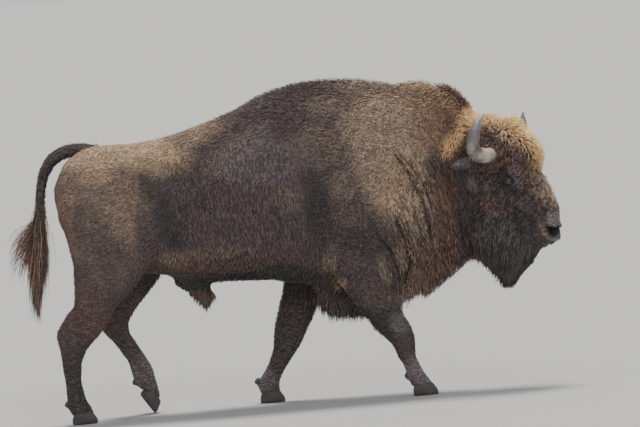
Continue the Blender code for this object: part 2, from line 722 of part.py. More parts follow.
def part_legs(body):
    """Each leg comes away in a block, and is then cut across at its joints."""
    for (leg, side), (rear, front, rear_foot, front_foot, y_inner) in LEG_BLOCKS.items():
        word = SIDE_NAMES[side]
        block = cell(f"{leg}_{word}_block", side, y_inner, OUTSIDE, (rear, front), (rear_foot, front_foot))
        piece = taken_out(body, block, f"{UPPER_LEG[leg]}_{word}")
        for name, point, lean in LEG_CUTS[leg, side]:
            title = f"{name}_{leg}_{word}" if name == "cannon" else f"{name}_{word}"
            piece = parted(piece, point, lean, title)


def part_trunk(body):
    """The rest of the flesh, from the rump forward to the muzzle."""
    block = cell("sheath_block", RIGHT, -SHEATH_HALF_WIDTH, SHEATH_HALF_WIDTH, *SHEATH_BLOCK)
    taken_out(body, block, "sheath")
    part_legs(body)
    body.name = "rump"
    barrel = parted(body, *BARREL_CUT, "barrel")
    withers = parted(barrel, *WITHERS_CUT, "withers")
    neck = parted(withers, *NECK_CUT, "neck")
    parted(withers, *CHEST_MANE_CUT, "chest_mane")
    head = parted(neck, *HEAD_CUT, "head")
    parted(head, *BEARD_CUT, "beard")
    parted(head, *MUZZLE_CUT, "muzzle", HEAD)
    parted(head, *FORELOCK_CUT, "forelock", HEAD)


def stand(pieces):
    """Moves every piece so that the origin is on the floor, under the middle of the whole box."""
    scale = WITHERS_HEIGHT / DRAWN_HEIGHT
    points = [vert.co for piece in pieces for vert in piece.data.vertices]
    low, high = (Vector(pick(point[axis] for point in points) for axis in range(3)) for pick in (min, max))
    middle = (low + high) / 2
    place = Matrix.Scale(scale, 4) @ Matrix.Translation((-middle.x, -middle.y, -low.z))
    for piece in pieces:
        piece.data.transform(place)


for old in list(bpy.data.objects):
    bpy.data.objects.remove(old)
wisent = new_collection("wisent")
cutters = new_collection("cutters", hidden=True)

tail = fused("tail", (tail_forms,), TAIL_VOXEL, TAIL_PASSES, TAIL_TRIANGLES)
flesh = fused("flesh", (trunk_forms, limb_forms, head_forms), BODY_VOXEL, BODY_PASSES, BODY_TRIANGLES)
seated = seated_pieces()
make_room(flesh, [tail, *seated])
part_trunk(flesh)
parted(tail, *TAIL_TUFT_CUT, "tail_tuft")
stand(list(wisent.objects))
for node in wisent.objects:
    finish(node)
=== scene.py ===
import math

import bmesh
import bpy
import numpy as np
from mathutils import Matrix, Vector
from mathutils.bvhtree import BVHTree


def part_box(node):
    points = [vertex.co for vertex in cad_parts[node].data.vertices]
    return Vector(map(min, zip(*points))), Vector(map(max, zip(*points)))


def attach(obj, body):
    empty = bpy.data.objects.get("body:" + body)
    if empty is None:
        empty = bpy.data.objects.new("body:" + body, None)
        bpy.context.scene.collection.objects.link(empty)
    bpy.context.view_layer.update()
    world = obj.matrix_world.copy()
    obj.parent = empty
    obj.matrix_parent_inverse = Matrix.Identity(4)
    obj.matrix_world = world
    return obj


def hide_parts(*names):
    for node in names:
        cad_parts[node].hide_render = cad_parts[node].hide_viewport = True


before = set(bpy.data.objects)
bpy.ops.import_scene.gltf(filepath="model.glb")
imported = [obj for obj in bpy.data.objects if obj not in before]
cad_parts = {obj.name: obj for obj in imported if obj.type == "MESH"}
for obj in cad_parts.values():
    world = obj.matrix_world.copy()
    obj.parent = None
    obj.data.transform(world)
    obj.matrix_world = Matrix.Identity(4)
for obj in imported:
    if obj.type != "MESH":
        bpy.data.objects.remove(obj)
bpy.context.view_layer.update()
random = np.random.default_rng(7)

# --- The hide ---------------------------------------------------------------------------------
# A model of this kind is a shaped body with the tanned hide drawn over it in one piece. The hide lies
# under the coat by the coat's own depth: a few millimetres on face and legs, centimetres in the wool.
# Lids, nostrils, lips and the folds of the neck are worked into it while it is damp.
HIDE_GRAIN = 0.0135  # spacing of the points that the hide is shaped by
FLESH = ("barrel", "beard", "cannon", "chest_mane", "forearm", "forelock", "gaskin", "head", "muzzle",
         "neck", "rump", "sheath", "shoulder", "thigh", "withers")
FEET = ("hoof", "dewclaw")

# The head's own axes: +X from the poll down the face, +Y to its left, +Z out of the face.
POLL = Vector((1.165, -0.075, 1.375))
HEAD_TURN = (
    Matrix.Rotation(math.radians(-24), 4, "Z")
    @ Matrix.Rotation(math.radians(-5), 4, "X")
    @ Matrix.Rotation(math.radians(58), 4, "Y")
)
HEAD_AXES = np.array(HEAD_TURN.to_3x3())
EYE = Vector((0.310, -0.136, 0.006))  # the right one, in the head's axes
# Sizes on the body are given in axes of its own, and this is where their zero lies on the model.
BODY_SHIFT = sum(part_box("eye_right"), Vector()) / 2 - Matrix.Translation(POLL) @ HEAD_TURN @ EYE
HEAD = Matrix.Translation(POLL + BODY_SHIFT) @ HEAD_TURN


def step(value, low, high):
    """From 0 at low to 1 at high, with soft ends."""
    share = np.clip((value - low) / (high - low), 0, 1)
    return share * share * (3 - 2 * share)


def bump(distance, radius):
    """1 at no distance and 0 from the radius on, with a soft top and foot."""
    return 1 - step(distance, 0, radius)


def unit(vectors):
    return vectors / np.maximum(np.linalg.norm(vectors, axis=-1, keepdims=True), 1e-9)


def dot(a, b):
    return (a * b).sum(-1)


def body_axes(points):
    """Points of the model in the body's axes."""
    return points - np.array(BODY_SHIFT)


def head_axes(points):
    return (points - np.array(HEAD.translation)) @ HEAD_AXES


def from_head(points):
    return points @ HEAD_AXES.T + np.array(HEAD.translation)


def coords(mesh, kind="co"):
    flat = np.empty(len(mesh.vertices) * 3, np.float32)
    mesh.vertices.foreach_get(kind, flat)
    return flat.reshape(-1, 3).astype(float)


def normals(mesh):
    return coords(mesh, "normal")


def set_coords(mesh, points):
    mesh.vertices.foreach_set("co", points.astype(np.float32).ravel())
    mesh.update()


def new_piece(name, mesh, slot):
    made = bpy.data.objects.new(name, mesh)
    bpy.context.scene.collection.objects.link(made)
    return made


def settle(made):
    """Applies the piece's modifiers."""
    graph = bpy.context.evaluated_depsgraph_get()
    mesh = bpy.data.meshes.new_from_object(made.evaluated_get(graph))
    made.modifiers.clear()
    made.data = mesh


# Sites over the body: place, lie of the hair there, then in millimetres its length, the coat's depth,
# a tuft's width and how far it waves from side to side. +Y is outwards on the trunk's rows.
TRUNK_SITES = (
    ((-1.19, 0.05, 1.4), (-0.5, 0.2, -1), 22, 8, 5.5, 0.5),
    ((-1.05, 0.1, 1.52), (-1, 0.3, -0.3), 24, 9, 5.5, 0.5),
    ((-0.78, 0.16, 1.46), (-1, 0.3, -0.5), 24, 9, 5.5, 0.6),
    ((-1.2, 0.12, 1.12), (-0.2, 0, -1), 20, 7, 5.5, 0.5),
    ((-0.98, 0.24, 1.15), (-0.5, 0, -1), 21, 7, 5.5, 0.6),
    ((-0.98, 0.26, 0.9), (-0.3, 0, -1), 20, 7, 5.5, 0.6),
    ((-1.18, 0.1, 0.85), (0.1, 0, -1), 20, 7, 5.5, 0.6),
    ((-0.68, 0.27, 1.18), (-0.4, 0, -1), 25, 9, 5.5, 0.8),
    ((-0.55, 0.14, 1.57), (-1, 0.6, -0.4), 32, 13, 7, 1),
    ((-0.72, 0.22, 0.85), (-0.4, -0.1, -1), 32, 14, 8, 1.2),
    ((-0.35, 0.33, 1.2), (-0.25, 0, -1), 30, 9, 5, 1),
    ((-0.4, 0.28, 0.85), (-0.25, -0.1, -1), 30, 10, 5.5, 1),
    ((-0.3, 0.1, 0.7), (-1, 0, -0.4), 44, 18, 9, 1.5),
    ((-0.2, 0.06, 1.7), (-0.9, 0.7, -0.4), 30, 13, 7, 1.2),
    ((0.1, 0.04, 1.79), (-0.9, 0.8, -0.2), 32, 16, 7, 1.5),
    ((0.1, 0.24, 1.5), (-1, 0.2, -0.8), 27, 13, 6.5, 1.4),
    ((0.05, 0.34, 1.15), (-0.3, 0, -1), 29, 10, 5.5, 1),
    ((0, 0.26, 0.8), (-0.25, -0.1, -1), 30, 11, 6, 1),
    ((0.4, 0.04, 1.79), (-0.8, 0.8, -0.2), 34, 18, 7, 1.6),
    ((0.42, 0.24, 1.5), (-1, 0.2, -0.7), 27, 15, 6.5, 1.6),
    ((0.38, 0.33, 1.15), (-0.6, 0, -1), 24, 12, 6, 1.2),
    ((0.4, 0.33, 0.9), (-0.6, 0, -1), 22, 10, 6, 0.8),
    ((0.2, 0.27, 0.72), (-0.5, 0.1, -1), 44, 15, 8, 1.2),
    ((0.7, 0.03, 1.74), (-0.7, 0.8, -0.2), 42, 22, 6.5, 1.6),
    ((0.7, 0.2, 1.5), (-1, 0.2, -0.6), 27, 16, 6.5, 1.8),
    ((0.7, 0.27, 1.2), (-0.6, 0, -0.9), 27, 16, 6.5, 1.8),
    ((0.72, 0.26, 0.95), (0.05, 0, -1), 32, 16, 6.5, 1.8),
    ((0.74, 0.2, 0.72), (0.05, -0.1, -1), 48, 22, 7, 1.8),
    ((0.98, 0.02, 1.62), (-0.5, 0.8, -0.3), 44, 24, 6.5, 1.6),
    ((0.95, 0.14, 1.42), (-0.6, 0.2, -1), 30, 17, 6.5, 1.8),
    ((0.96, 0.19, 1.1), (0, 0, -1), 32, 17, 6.5, 1.8),
    ((0.95, 0.12, 0.8), (0.1, -0.1, -1), 54, 24, 8, 1.8),
    ((0.66, 0.08, 0.5), (-0.1, 0, -1), 90, 34, 10, 2),
    ((0.4, 0.08, 0.43), (-0.2, 0, -1), 100, 34, 10, 2),
    ((0.15, 0.05, 0.52), (-0.4, 0, -1), 90, 26, 9, 1.6),
    ((-0.6, 0.03, 0.72), (-0.3, 0, -1), 20, 6, 5, 0.5),
    ((-0.52, 0.03, 0.66), (-0.3, 0, -1), 20, 5, 5, 0.5),
    ((-0.47, 0.02, 0.6), (-0.1, 0, -1), 40, 5, 6, 1),
)
# The legs stand in different places, so each has rows of its own, with +Y to the animal's left.
LEG_SITES = (
    ((0.42, -0.31, 0.7), (-0.1, 0, -1), 24, 10, 6, 1),
    ((0.52, -0.29, 0.5), (0.1, 0, -1), 20, 8, 6, 0.8),
    ((0.58, -0.26, 0.3), (0.3, 0, -1), 15, 5, 5, 0.4),
    ((0.63, -0.21, 0.16), (0.2, 0, -1), 13, 4, 4, 0.3),
    ((0.68, -0.21, 0.07), (0.4, 0, -1), 14, 4, 4, 0.3),
    ((0.12, 0.31, 0.7), (-0.2, 0, -1), 24, 10, 6, 1),
    ((0.05, 0.3, 0.5), (-0.3, 0, -1), 20, 8, 6, 0.8),
    ((-0.05, 0.26, 0.3), (-0.3, 0, -1), 15, 5, 5, 0.4),
    ((-0.15, 0.21, 0.16), (-0.3, 0, -1), 13, 4, 4, 0.3),
    ((-0.17, 0.21, 0.07), (0.1, 0, -1), 14, 4, 4, 0.3),
    ((-1.1, -0.23, 0.66), (-0.4, 0, -1), 22, 8, 6, 0.6),
    ((-1.2, -0.2, 0.5), (-0.2, 0, -1), 17, 6, 5, 0.4),
    ((-1.25, -0.17, 0.3), (0, 0, -1), 14, 4, 4, 0.3),
    ((-1.24, -0.17, 0.14), (0.1, 0, -1), 13, 4, 4, 0.3),
    ((-1.21, -0.17, 0.07), (0.4, 0, -1), 14, 4, 4, 0.3),
    ((-0.98, 0.23, 0.66), (-0.1, 0, -1), 22, 8, 6, 0.6),
    ((-1, 0.2, 0.5), (0.2, 0, -1), 17, 6, 5, 0.4),
    ((-0.9, 0.17, 0.3), (0.3, 0, -1), 14, 4, 4, 0.3),
    ((-0.85, 0.17, 0.18), (0.4, 0, -1), 13, 4, 4, 0.3),
    ((-0.82, 0.17, 0.11), (0.3, 0, -1), 14, 4, 4, 0.3),
)
# In the head's axes.
HEAD_SITES = (
    ((0.69, 0, 0), (0.2, 0, -1), 6, 0.5, 1.8, 0),
    ((0.66, 0.06, 0.02), (0.2, 0.2, -1), 6, 0.5, 1.8, 0),
    ((0.66, 0.05, -0.08), (0.3, 0.1, -1), 12, 2.5, 2.4, 0),
    ((0.69, 0, -0.1), (0.5, 0, -1), 26, 7, 3.5, 0.3),
    ((0.6, 0, 0.085), (-1, 0, 0.1), 10, 4, 2.4, 0.2),
    ((0.6, 0.085, 0.02), (-0.7, 0.1, -0.7), 9, 3, 2.2, 0.2),
    ((0.5, 0, 0.125), (-1, 0.2, 0.1), 26, 14, 4, 2.2),
    ((0.5, 0.08, 0.08), (-0.6, 0.4, -0.8), 22, 10, 3.4, 1.6),
    ((0.5, 0.095, -0.02), (-0.5, 0.1, -1), 16, 6, 2.8, 0.6),
    ((0.52, 0.08, -0.12), (0.1, 0, -1), 40, 9, 4, 0.8),
    ((0.4, 0, 0.14), (-0.8, 0.3, 0.1), 32, 18, 4.5, 3),
    ((0.4, 0.1, 0.08), (-0.4, 0.4, -1), 24, 11, 4, 2),
    ((0.39, 0.12, -0.02), (-0.2, 0.1, -1), 15, 5, 3, 0.4),
    ((0.38, 0.12, -0.13), (0.4, 0, -1), 32, 10, 4, 1),
    ((0.297, 0.136, 0.02), (0, 0.2, -1), 9, 3, 2.2, 0.2),
    ((0.32, 0, 0.15), (0.6, 0.1, 0.1), 50, 24, 6, 3.4),
    ((0.31, 0.1, 0.11), (0.5, 0.6, -0.6), 34, 16, 5, 2.6),
    ((0.24, 0.15, 0.04), (0.3, 0.3, -1), 20, 8, 4, 1),
    ((0.25, 0.16, -0.06), (0.3, 0, -1), 18, 7, 3.6, 0.6),
    ((0.24, 0.16, -0.18), (0.6, 0, -1), 40, 14, 5, 1.4),
    ((0.15, 0, 0.2), (1, 0.2, 0.2), 60, 28, 6.5, 4),
    ((0.15, 0.13, 0.13), (0.8, 0.8, -0.5), 56, 26, 6.5, 4),
    ((0, 0, 0.12), (-0.3, 0.2, 1), 58, 28, 6.5, 3.6),
    ((-0.02, 0.13, 0.05), (-0.8, 0.6, -0.4), 50, 24, 6.5, 3),
    ((0.1, 0.16, -0.08), (0.2, 0, -1), 30, 14, 5, 1.5),
    ((0.06, 0.15, -0.22), (0.6, 0, -1), 46, 20, 6, 1.8),
    ((0.4, 0, -0.2), (0.9, 0, -1), 90, 24, 8, 2),
    ((0.3, 0, -0.3), (0.9, 0, -1), 100, 28, 8, 2),
)
LENGTH, DEPTH, WIDTH, WAVE = range(4)


def on_both_sides(sites):
    """Each site's numbers in a row, followed by those of its twin on the other side."""
    rows = [(*place, *lie, *values) for place, lie, *values in sites]
    return np.array([row for row in rows for row in (row, (row[0], -row[1], *row[2:4], -row[4], *row[5:]))], float)


def all_sites():
    """Places, lies and values of every site, in metres on the model."""
    legs = np.array([(*place, *lie, *values) for place, lie, *values in LEG_SITES], float)
    body = np.vstack([on_both_sides(TRUNK_SITES), legs])
    body[:, :3] += np.array(BODY_SHIFT)
    head = on_both_sides(HEAD_SITES)
    head[:, :3] = from_head(head[:, :3])
    head[:, 3:6] = head[:, 3:6] @ HEAD_AXES.T
    found = np.vstack([body, head])
    return found[:, :3], unit(found[:, 3:6]), found[:, 6:] * 0.001


SITES, LIES, SITE_VALUES = all_sites()


def coat_at(points):
    """The lie of the coat and its values at points, blended from the nearest sites."""
    lies, values = np.zeros((len(points), 3)), np.zeros((len(points), 4))
    for start in range(0, len(points), 20000):
        part = points[start : start + 20000]
        gap = ((part[:, None, :] - SITES[None]) ** 2).sum(-1)
        share = 1 / (gap + 0.03**2) ** 2.5
        share /= share.sum(1, keepdims=True)
        lies[start : start + 20000] = share @ LIES
        values[start : start + 20000] = share @ SITE_VALUES
    return lies, values


# Flesh round the roots of horns, ears and eyes, in the head's axes, and under the tail's, from the top of its front
HEAD_ROOTS = (((0.12, -0.10, 0.0), 0.07), ((0.19, -0.115, -0.12), 0.045), (EYE, 0.024))
TAIL_ROOT, TAIL_ROOT_RADIUS = Vector((-0.03, 0, -0.06)), 0.05


def flesh_object():
    """The body's nodes as one closed skin, before it is taken in."""
    bm = bmesh.new()
    for name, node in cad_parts.items():
        if name.startswith(FLESH + FEET):
            bm.from_mesh(node.data)
    tail_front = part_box("tail")[1]
    balls = [(HEAD @ Vector((place[0], side * place[1], place[2])), radius)
             for side in (1, -1) for place, radius in HEAD_ROOTS]
    balls.append((Vector((tail_front.x, 0.027, tail_front.z)) + TAIL_ROOT, TAIL_ROOT_RADIUS))
    for centre, radius in balls:
        bmesh.ops.create_icosphere(bm, subdivisions=3, radius=radius, matrix=Matrix.Translation(centre))
    mesh = bpy.data.meshes.new("hide")
    bm.to_mesh(mesh)
    bm.free()
    made = new_piece("hide", mesh, "barrel")
    fuse = made.modifiers.new("fuse", "REMESH")
    fuse.mode = "VOXEL"
    fuse.voxel_size = HIDE_GRAIN
    soften = made.modifiers.new("soften", "SMOOTH")
    soften.factor = 0.5
    soften.iterations = 6
    settle(made)
    return made


def thickness(mesh):
    """How thick the body is behind each point."""
    bm = bmesh.new()
    bm.from_mesh(mesh)
    tree = BVHTree.FromBMesh(bm)
    found = np.full(len(bm.verts), 0.5)
    for k, vert in enumerate(bm.verts):
        hit = tree.ray_cast(vert.co - vert.normal * 0.002, -vert.normal)
        if hit[3] is not None:
            found[k] = hit[3]
    bm.free()
    return found


def finer(mesh, inside):
    """Halves the spacing of the points where inside, a test on points, says so."""
    bm = bmesh.new()
    bm.from_mesh(mesh)
    chosen = inside(coords(mesh))
    bm.verts.ensure_lookup_table()
    edges = [edge for edge in bm.edges if chosen[edge.verts[0].index] and chosen[edge.verts[1].index]]
    bmesh.ops.subdivide_edges(bm, edges=edges, cuts=1, use_grid_fill=True)
    fresh = [vert for vert in bm.verts if vert.index >= len(chosen) or vert.index < 0 or chosen[vert.index]]
    for _ in range(2):
        bmesh.ops.smooth_vert(bm, verts=fresh, factor=0.4, use_axis_x=True, use_axis_y=True, use_axis_z=True)
    bm.to_mesh(mesh)
    bm.free()


def near_face(points):
    at = head_axes(points)
    return (at[:, 0] > 0.20) & (at[:, 2] > -0.16) & (at[:, 0] < 0.8) & (abs(at[:, 1]) < 0.25)


def near_eyes(points):
    at = head_axes(points)
    at[:, 1] = -abs(at[:, 1])
    return np.linalg.norm(at - np.array(EYE), axis=1) < 0.062


# Beard, chest mane and sheath: x from and to, the level below which they are cut, the share kept, half the width
CORES = ((1.02, 1.45, 0.78, 0.45, 0.19), (0.05, 0.80, 0.56, 0.55, 0.12), (-0.62, -0.38, 0.60, 0.40, 0.12))


def shorten_cores(points):
    """Beard, chest mane and sheath tuft are mostly hair, so that the hide ends higher up in them."""
    at = body_axes(points)
    for low_x, high_x, level, kept, half in CORES:
        inside = step(at[:, 0], low_x, low_x + 0.06) * (1 - step(at[:, 0], high_x - 0.06, high_x))
        inside = inside * (1 - step(abs(at[:, 1]), half - 0.03, half)) * step(at[:, 2], 0.30, 0.36)
        points[:, 2] += inside * (1 - kept) * np.maximum(level - at[:, 2], 0)
    return points


hide = flesh_object()
set_coords(hide.data, shorten_cores(coords(hide.data)))
points = coords(hide.data)
lies, values = coat_at(points)
depth = np.minimum(values[:, DEPTH], 0.34 * thickness(hide.data))
set_coords(hide.data, points - normals(hide.data) * depth[:, None])
finer(hide.data, near_face)
finer(hide.data, near_eyes)


# Folds are pressed in along lines seen from the side: x and z of their points, depth, half width.
NECK_FOLDS = (
    (((0.652, 1.331), (0.718, 1.224), (0.777, 1.068), (0.794, 0.968), (0.808, 0.855)), 0.014, 0.018),
    (((0.68, 1.335), (0.745, 1.245), (0.8, 1.13), (0.83, 1.04)), 0.011, 0.016),
    (((0.85, 1.15), (0.87, 1.02), (0.875, 0.9)), 0.008, 0.014),
    (((0.72, 1.02), (0.745, 0.92), (0.75, 0.82)), 0.008, 0.014),
    (((0.67, 0.98), (0.69, 0.88), (0.69, 0.79)), 0.007, 0.014),
    (((0.62, 0.98), (0.66, 0.86), (0.68, 0.74), (0.64, 0.62)), 0.014, 0.024),
    (((0.48, 0.97), (0.564, 0.818), (0.6, 0.71), (0.614, 0.6)), 0.009, 0.016),
    (((-0.7, 0.79), (-0.386, 0.762), (-0.341, 0.815), (-0.22, 0.868), (-0.168, 0.82), (-0.12, 0.785), (0.07, 0.77)),
     0.007, 0.014),
)
# Bone and muscle under the hide, seen from the side: x, z, radius along, radius up, lean, height
RELIEF = (
    (-0.72, 1.44, 0.09, 0.05, -20, 0.018), (-0.53, 1.32, 0.12, 0.1, 0, -0.013), (-0.98, 1.14, 0.13, 0.22, 6, 0.014),
    (-1.15, 1.05, 0.035, 0.26, -6, -0.012), (-0.76, 0.92, 0.07, 0.09, 0, 0.012), (-1.24, 1.37, 0.06, 0.05, 0, 0.01),
    (-0.66, 1.02, 0.06, 0.24, 12, -0.016), (0.3, 1.32, 0.05, 0.24, 14, 0.01), (0.6, 1, 0.09, 0.09, 0, 0.012),
    (0.22, 0.76, 0.05, 0.06, 0, 0.012), (0.17, 1.05, 0.06, 0.26, 6, -0.014), (0.46, 0.66, 0.06, 0.13, 22, 0.009),
    (0.52, 1.24, 0.035, 0.22, 22, -0.008), (-1.2, 0.62, 0.035, 0.12, 10, -0.01), (-1.13, 0.6, 0.03, 0.12, 20, 0.006),
)


def line_distance(points, line):
    """How far flat points are from a line of corners."""
    best = np.full(len(points), np.inf)
    for start, end in zip(np.array(line[:-1]), np.array(line[1:])):
        along = end - start
        share = np.clip((points - start) @ along / (along @ along), 0, 1)
        best = np.minimum(best, np.linalg.norm(points - start - share[:, None] * along, axis=1))
    return best


def neck_fold(at):
    """How deep the folds go at points in the body's axes."""
    found = np.zeros(len(at))
    for line, deep, half in NECK_FOLDS:
        found = np.maximum(found, deep * bump(line_distance(at[:, [0, 2]], line), half * 1.6))
    return found * step(abs(at[:, 1]), 0.08, 0.14)


# The eye's opening: its long axis runs towards the nose, the short one towards the brow.
EYE_RADIUS = 0.0240
EYE_REACH, EYE_BEHIND = 0.050, -0.03  # how far round and behind the ball the hide is shaped
EYE_OUT = Vector((0.10, -0.90, 0.36)).normalized()
EYE_LONG = Vector((0.66, 0.32, 0.62))
EYE_LONG = (EYE_LONG - EYE_OUT * EYE_OUT.dot(EYE_LONG)).normalized()
EYE_UP = EYE_LONG.cross(EYE_OUT)
LID_LENGTH, LID_RISE, LID_DROP = 0.0280, 0.0150, 0.0125
LID_OVER, RIM_OVER = 0.0042, 0.0040  # how far lids and rim lie over the ball
LID_EDGE, LID_CREASE = 0.0016, 0.0022  # how far the lids' edge stands up, and the crease beyond it goes in
EYE_POCKET = 0.007  # how far the hide behind the opening lies inside the ball
EYE_SEAT = EYE - EYE_OUT * 0.009  # the ball's middle


def shape_lids(at):
    """Draws the hide over the eyeball as two lids, with a crease above and a bag below."""
    side = np.sign(at[:, 1])
    own = at * np.stack([np.ones(len(at)), -side, np.ones(len(at))], 1) - np.array(EYE_SEAT)
    along, rise, out = (own @ np.array(axis) for axis in (EYE_LONG, EYE_UP, EYE_OUT))
    reach = np.hypot(along, rise)
    height = np.where(rise > 0, LID_RISE, LID_DROP)
    opening = np.hypot(along / LID_LENGTH, rise / height)
    shell = np.sqrt(np.maximum((EYE_RADIUS + LID_OVER) ** 2 - reach**2, 0.0001))
    shell += LID_EDGE * bump(abs(opening - 1.25), 0.5)
    shell -= LID_CREASE * bump(abs(opening - 1.9), 0.45) * (rise > -0.004)
    pocket = np.sqrt(np.maximum(EYE_RADIUS**2 - reach**2, 0.00005)) - EYE_POCKET
    wanted = np.where(opening < 1, pocket, shell)
    share = bump(np.maximum(reach - EYE_RADIUS, 0), EYE_RADIUS) * (out > EYE_BEHIND)
    moved = out + (wanted - out) * share
    own = np.outer(along, EYE_LONG) + np.outer(rise, EYE_UP) + np.outer(moved, EYE_OUT) + np.array(EYE_SEAT)
    own[:, 1] *= -side
    return np.where(((reach < EYE_REACH) & (out > EYE_BEHIND))[:, None], own, at)


# The nostril's middle, its radii, how deep its hole and how high its rim is, and its axes
NOSTRIL, NOSTRIL_RADII = np.array((0.668, 0.045, 0.038)), (0.050, 0.0265)
HOLE_DEPTH, HOLE_RIM = 0.045, 0.006
NOSTRIL_IN = unit(np.array((-0.80, -0.45, -0.25)))
NOSTRIL_LONG = np.array((-0.62, 0.50, -0.45))
NOSTRIL_LONG = unit(NOSTRIL_LONG - NOSTRIL_IN * (NOSTRIL_LONG @ NOSTRIL_IN))
NOSTRIL_SHORT = np.cross(NOSTRIL_IN, NOSTRIL_LONG)


def nostril_reach(at):
    """How many of its own radii a point is from the nostril."""
    own = np.column_stack([at[:, 0], abs(at[:, 1]), at[:, 2]]) - NOSTRIL
    long, short = own @ NOSTRIL_LONG, own @ NOSTRIL_SHORT
    return np.hypot(long / NOSTRIL_RADII[0], (short + 6 * long**2) / NOSTRIL_RADII[1])  # curved like a comma


MOUTH_LINE = ((0.730, -0.045), (0.700, -0.052), (0.665, -0.064), (0.630, -0.076), (0.585, -0.088), (0.545, -0.108))
TEAR_LINE = ((0.318, 0.018), (0.355, 0.022), (0.400, 0.005))
CHEEK_LINE = ((0.30, -0.035), (0.37, -0.055), (0.44, -0.050), (0.52, -0.035))
# Grooves: their lines, depth and half width
GROOVES = ((TEAR_LINE, 0.004, 0.012), (CHEEK_LINE, 0.005, 0.022))
# The brow's and the chin's swellings: x, z, radius, height
SWELLINGS = ((0.262, 0.040, 0.050, 0.007), (0.640, -0.100, 0.045, 0.004))
LIP_GROOVE, LIP_PARTING, LIP_OVERHANG = 0.006, 0.010, 0.006


def shape_face(at):
    """Nostrils, lips, tear groove, cheek line and brow."""
    side = np.sign(at[:, 1:2])
    reach = nostril_reach(at)
    hole = (HOLE_DEPTH * bump(reach, 1.05) - HOLE_RIM * bump(abs(reach - 1.35), 0.5))[:, None]
    at = at + hole * NOSTRIL_IN * np.hstack([np.ones_like(side), side, np.ones_like(side)])
    flat = at[:, [0, 2]]
    pressed = LIP_GROOVE * bump(line_distance(flat, MOUTH_LINE), 0.010) * step(at[:, 0], 0.54, 0.58)
    for line, deep, half in GROOVES:
        pressed += deep * bump(line_distance(flat, line), half)
    raised = sum(height * bump(np.hypot(at[:, 0] - x, at[:, 2] - z), radius) for x, z, radius, height in SWELLINGS)
    at[:, 1] += (raised - pressed) * side[:, 0] * step(abs(at[:, 1]), 0.02, 0.05)
    # The lips part round the front too, where the upper one overhangs the lower.
    at[:, 0] -= LIP_PARTING * bump(line_distance(at[:, [0, 2]], MOUTH_LINE), 0.013) * step(at[:, 0], 0.60, 0.66)
    at[:, 0] -= LIP_OVERHANG * step(-at[:, 2], 0.056, 0.066) * step(at[:, 0], 0.66, 0.69)
    return at


# The head's pads and hollows: place in the head's axes, reach and height
PADS = (
    ((-0.04, 0, 0.13), 0.12, 0.034), ((0.02, 0, 0.17), 0.09, 0.012), ((0.1, 0, 0.2), 0.15, 0.013),
    ((0.18, 0, 0.19), 0.12, 0.008), ((0.23, 0, 0.17), 0.12, 0.016), ((0.4, 0, 0.14), 0.09, 0.016),
    ((0.48, 0, 0.13), 0.09, 0.018), ((0.56, 0, 0.115), 0.07, 0.013), ((0.275, 0.14, 0.062), 0.045, 0.012),
    ((0.325, 0.13, 0.072), 0.045, 0.014), ((0.395, 0.12, 0.03), 0.035, -0.008), ((0.37, 0.13, -0.045), 0.05, 0.009),
    ((0.23, 0.16, -0.09), 0.08, 0.012), ((0.47, 0.1, -0.06), 0.06, 0.007), ((0.35, 0.13, -0.11), 0.06, -0.008),
    ((0.16, 0.15, -0.15), 0.07, -0.012), ((0.62, 0.07, -0.04), 0.05, 0.006),
)


def padding(at):
    """How far the pads push the hide out at points in the head's axes."""
    found = np.zeros(len(at))
    for (x, y, z), reach, height in PADS:
        gap = np.sqrt((at[:, 0] - x) ** 2 + np.maximum(abs(at[:, 1]) - y - 0.03, 0) ** 2 + (at[:, 2] - z) ** 2)
        found += height * bump(gap, reach * 1.3)
    return found * step(at[:, 0], -0.20, -0.10)


def oval_reach(flat, x, z, along, rise, lean=0):
    """How many of its own radii flat points are from the middle of an oval at x and z, leaning by so many degrees."""
    turn = math.radians(lean)
    own = flat - (x, z)
    a = (own[:, 0] * math.cos(turn) + own[:, 1] * math.sin(turn)) / along
    b = (own[:, 1] * math.cos(turn) - own[:, 0] * math.sin(turn)) / rise
    return np.hypot(a, b)


def relief(at):
    """How far bone and muscle push the hide out at points in the body's axes."""
    found = np.zeros(len(at))
    for *oval, height in RELIEF:
        found += height * bump(oval_reach(at[:, [0, 2]], *oval), 1.3)
    return found * step(abs(at[:, 1]), 0.10, 0.16)


# Middle of the sole, pitch towards the toe in degrees, x and z of the dewclaws, by leg and side
FEET_AT = {
    ("fore", -1): ((0.7102, -0.183, 0), 0, (0.618, 0.112)),
    ("fore", 1): ((-0.1448, 0.232, 0), 0, (-0.22, 0.122)),
    ("hind", -1): ((-1.1868, -0.143, 0), 0, (-1.274, 0.114)),
    ("hind", 1): ((-0.847, 0.197, 0.0625), 57, (-0.904, 0.182)),
}


def foot_place(centre, pitch):
    return Matrix.Translation(centre) @ Matrix.Rotation(math.radians(pitch), 4, "Y")


def within_claws(points):
    """For each foot: its place, the points in its own axes, and how far inside the claws they are, 0 to 1."""
    for centre, pitch, _ in FEET_AT.values():
        place = np.array(foot_place(centre, pitch))
        own = (points - place[:3, 3]) @ place[:3, :3]
        near = (abs(own[:, 0]) < 0.12) & (abs(own[:, 1]) < 0.10) & (own[:, 2] > -0.06)
        yield place, own, near * (1 - step(own[:, 2], 0.036, 0.062))


NECK_CREST = ((0.97, 1.605), (1.04, 1.555), (1.10, 1.49))  # seen from the side
points = coords(hide.data)
at = body_axes(points)
head_near = step(at[:, 0], 0.98, 1.08)
points += normals(hide.data) * (relief(at) - neck_fold(at) + padding(head_axes(points)) * head_near)[:, None]
BUTTOCKS_OUT, CREST_UP, HUMP_FRONT_UP, KNEE_IN = 0.040, 0.047, 0.030, 0.022
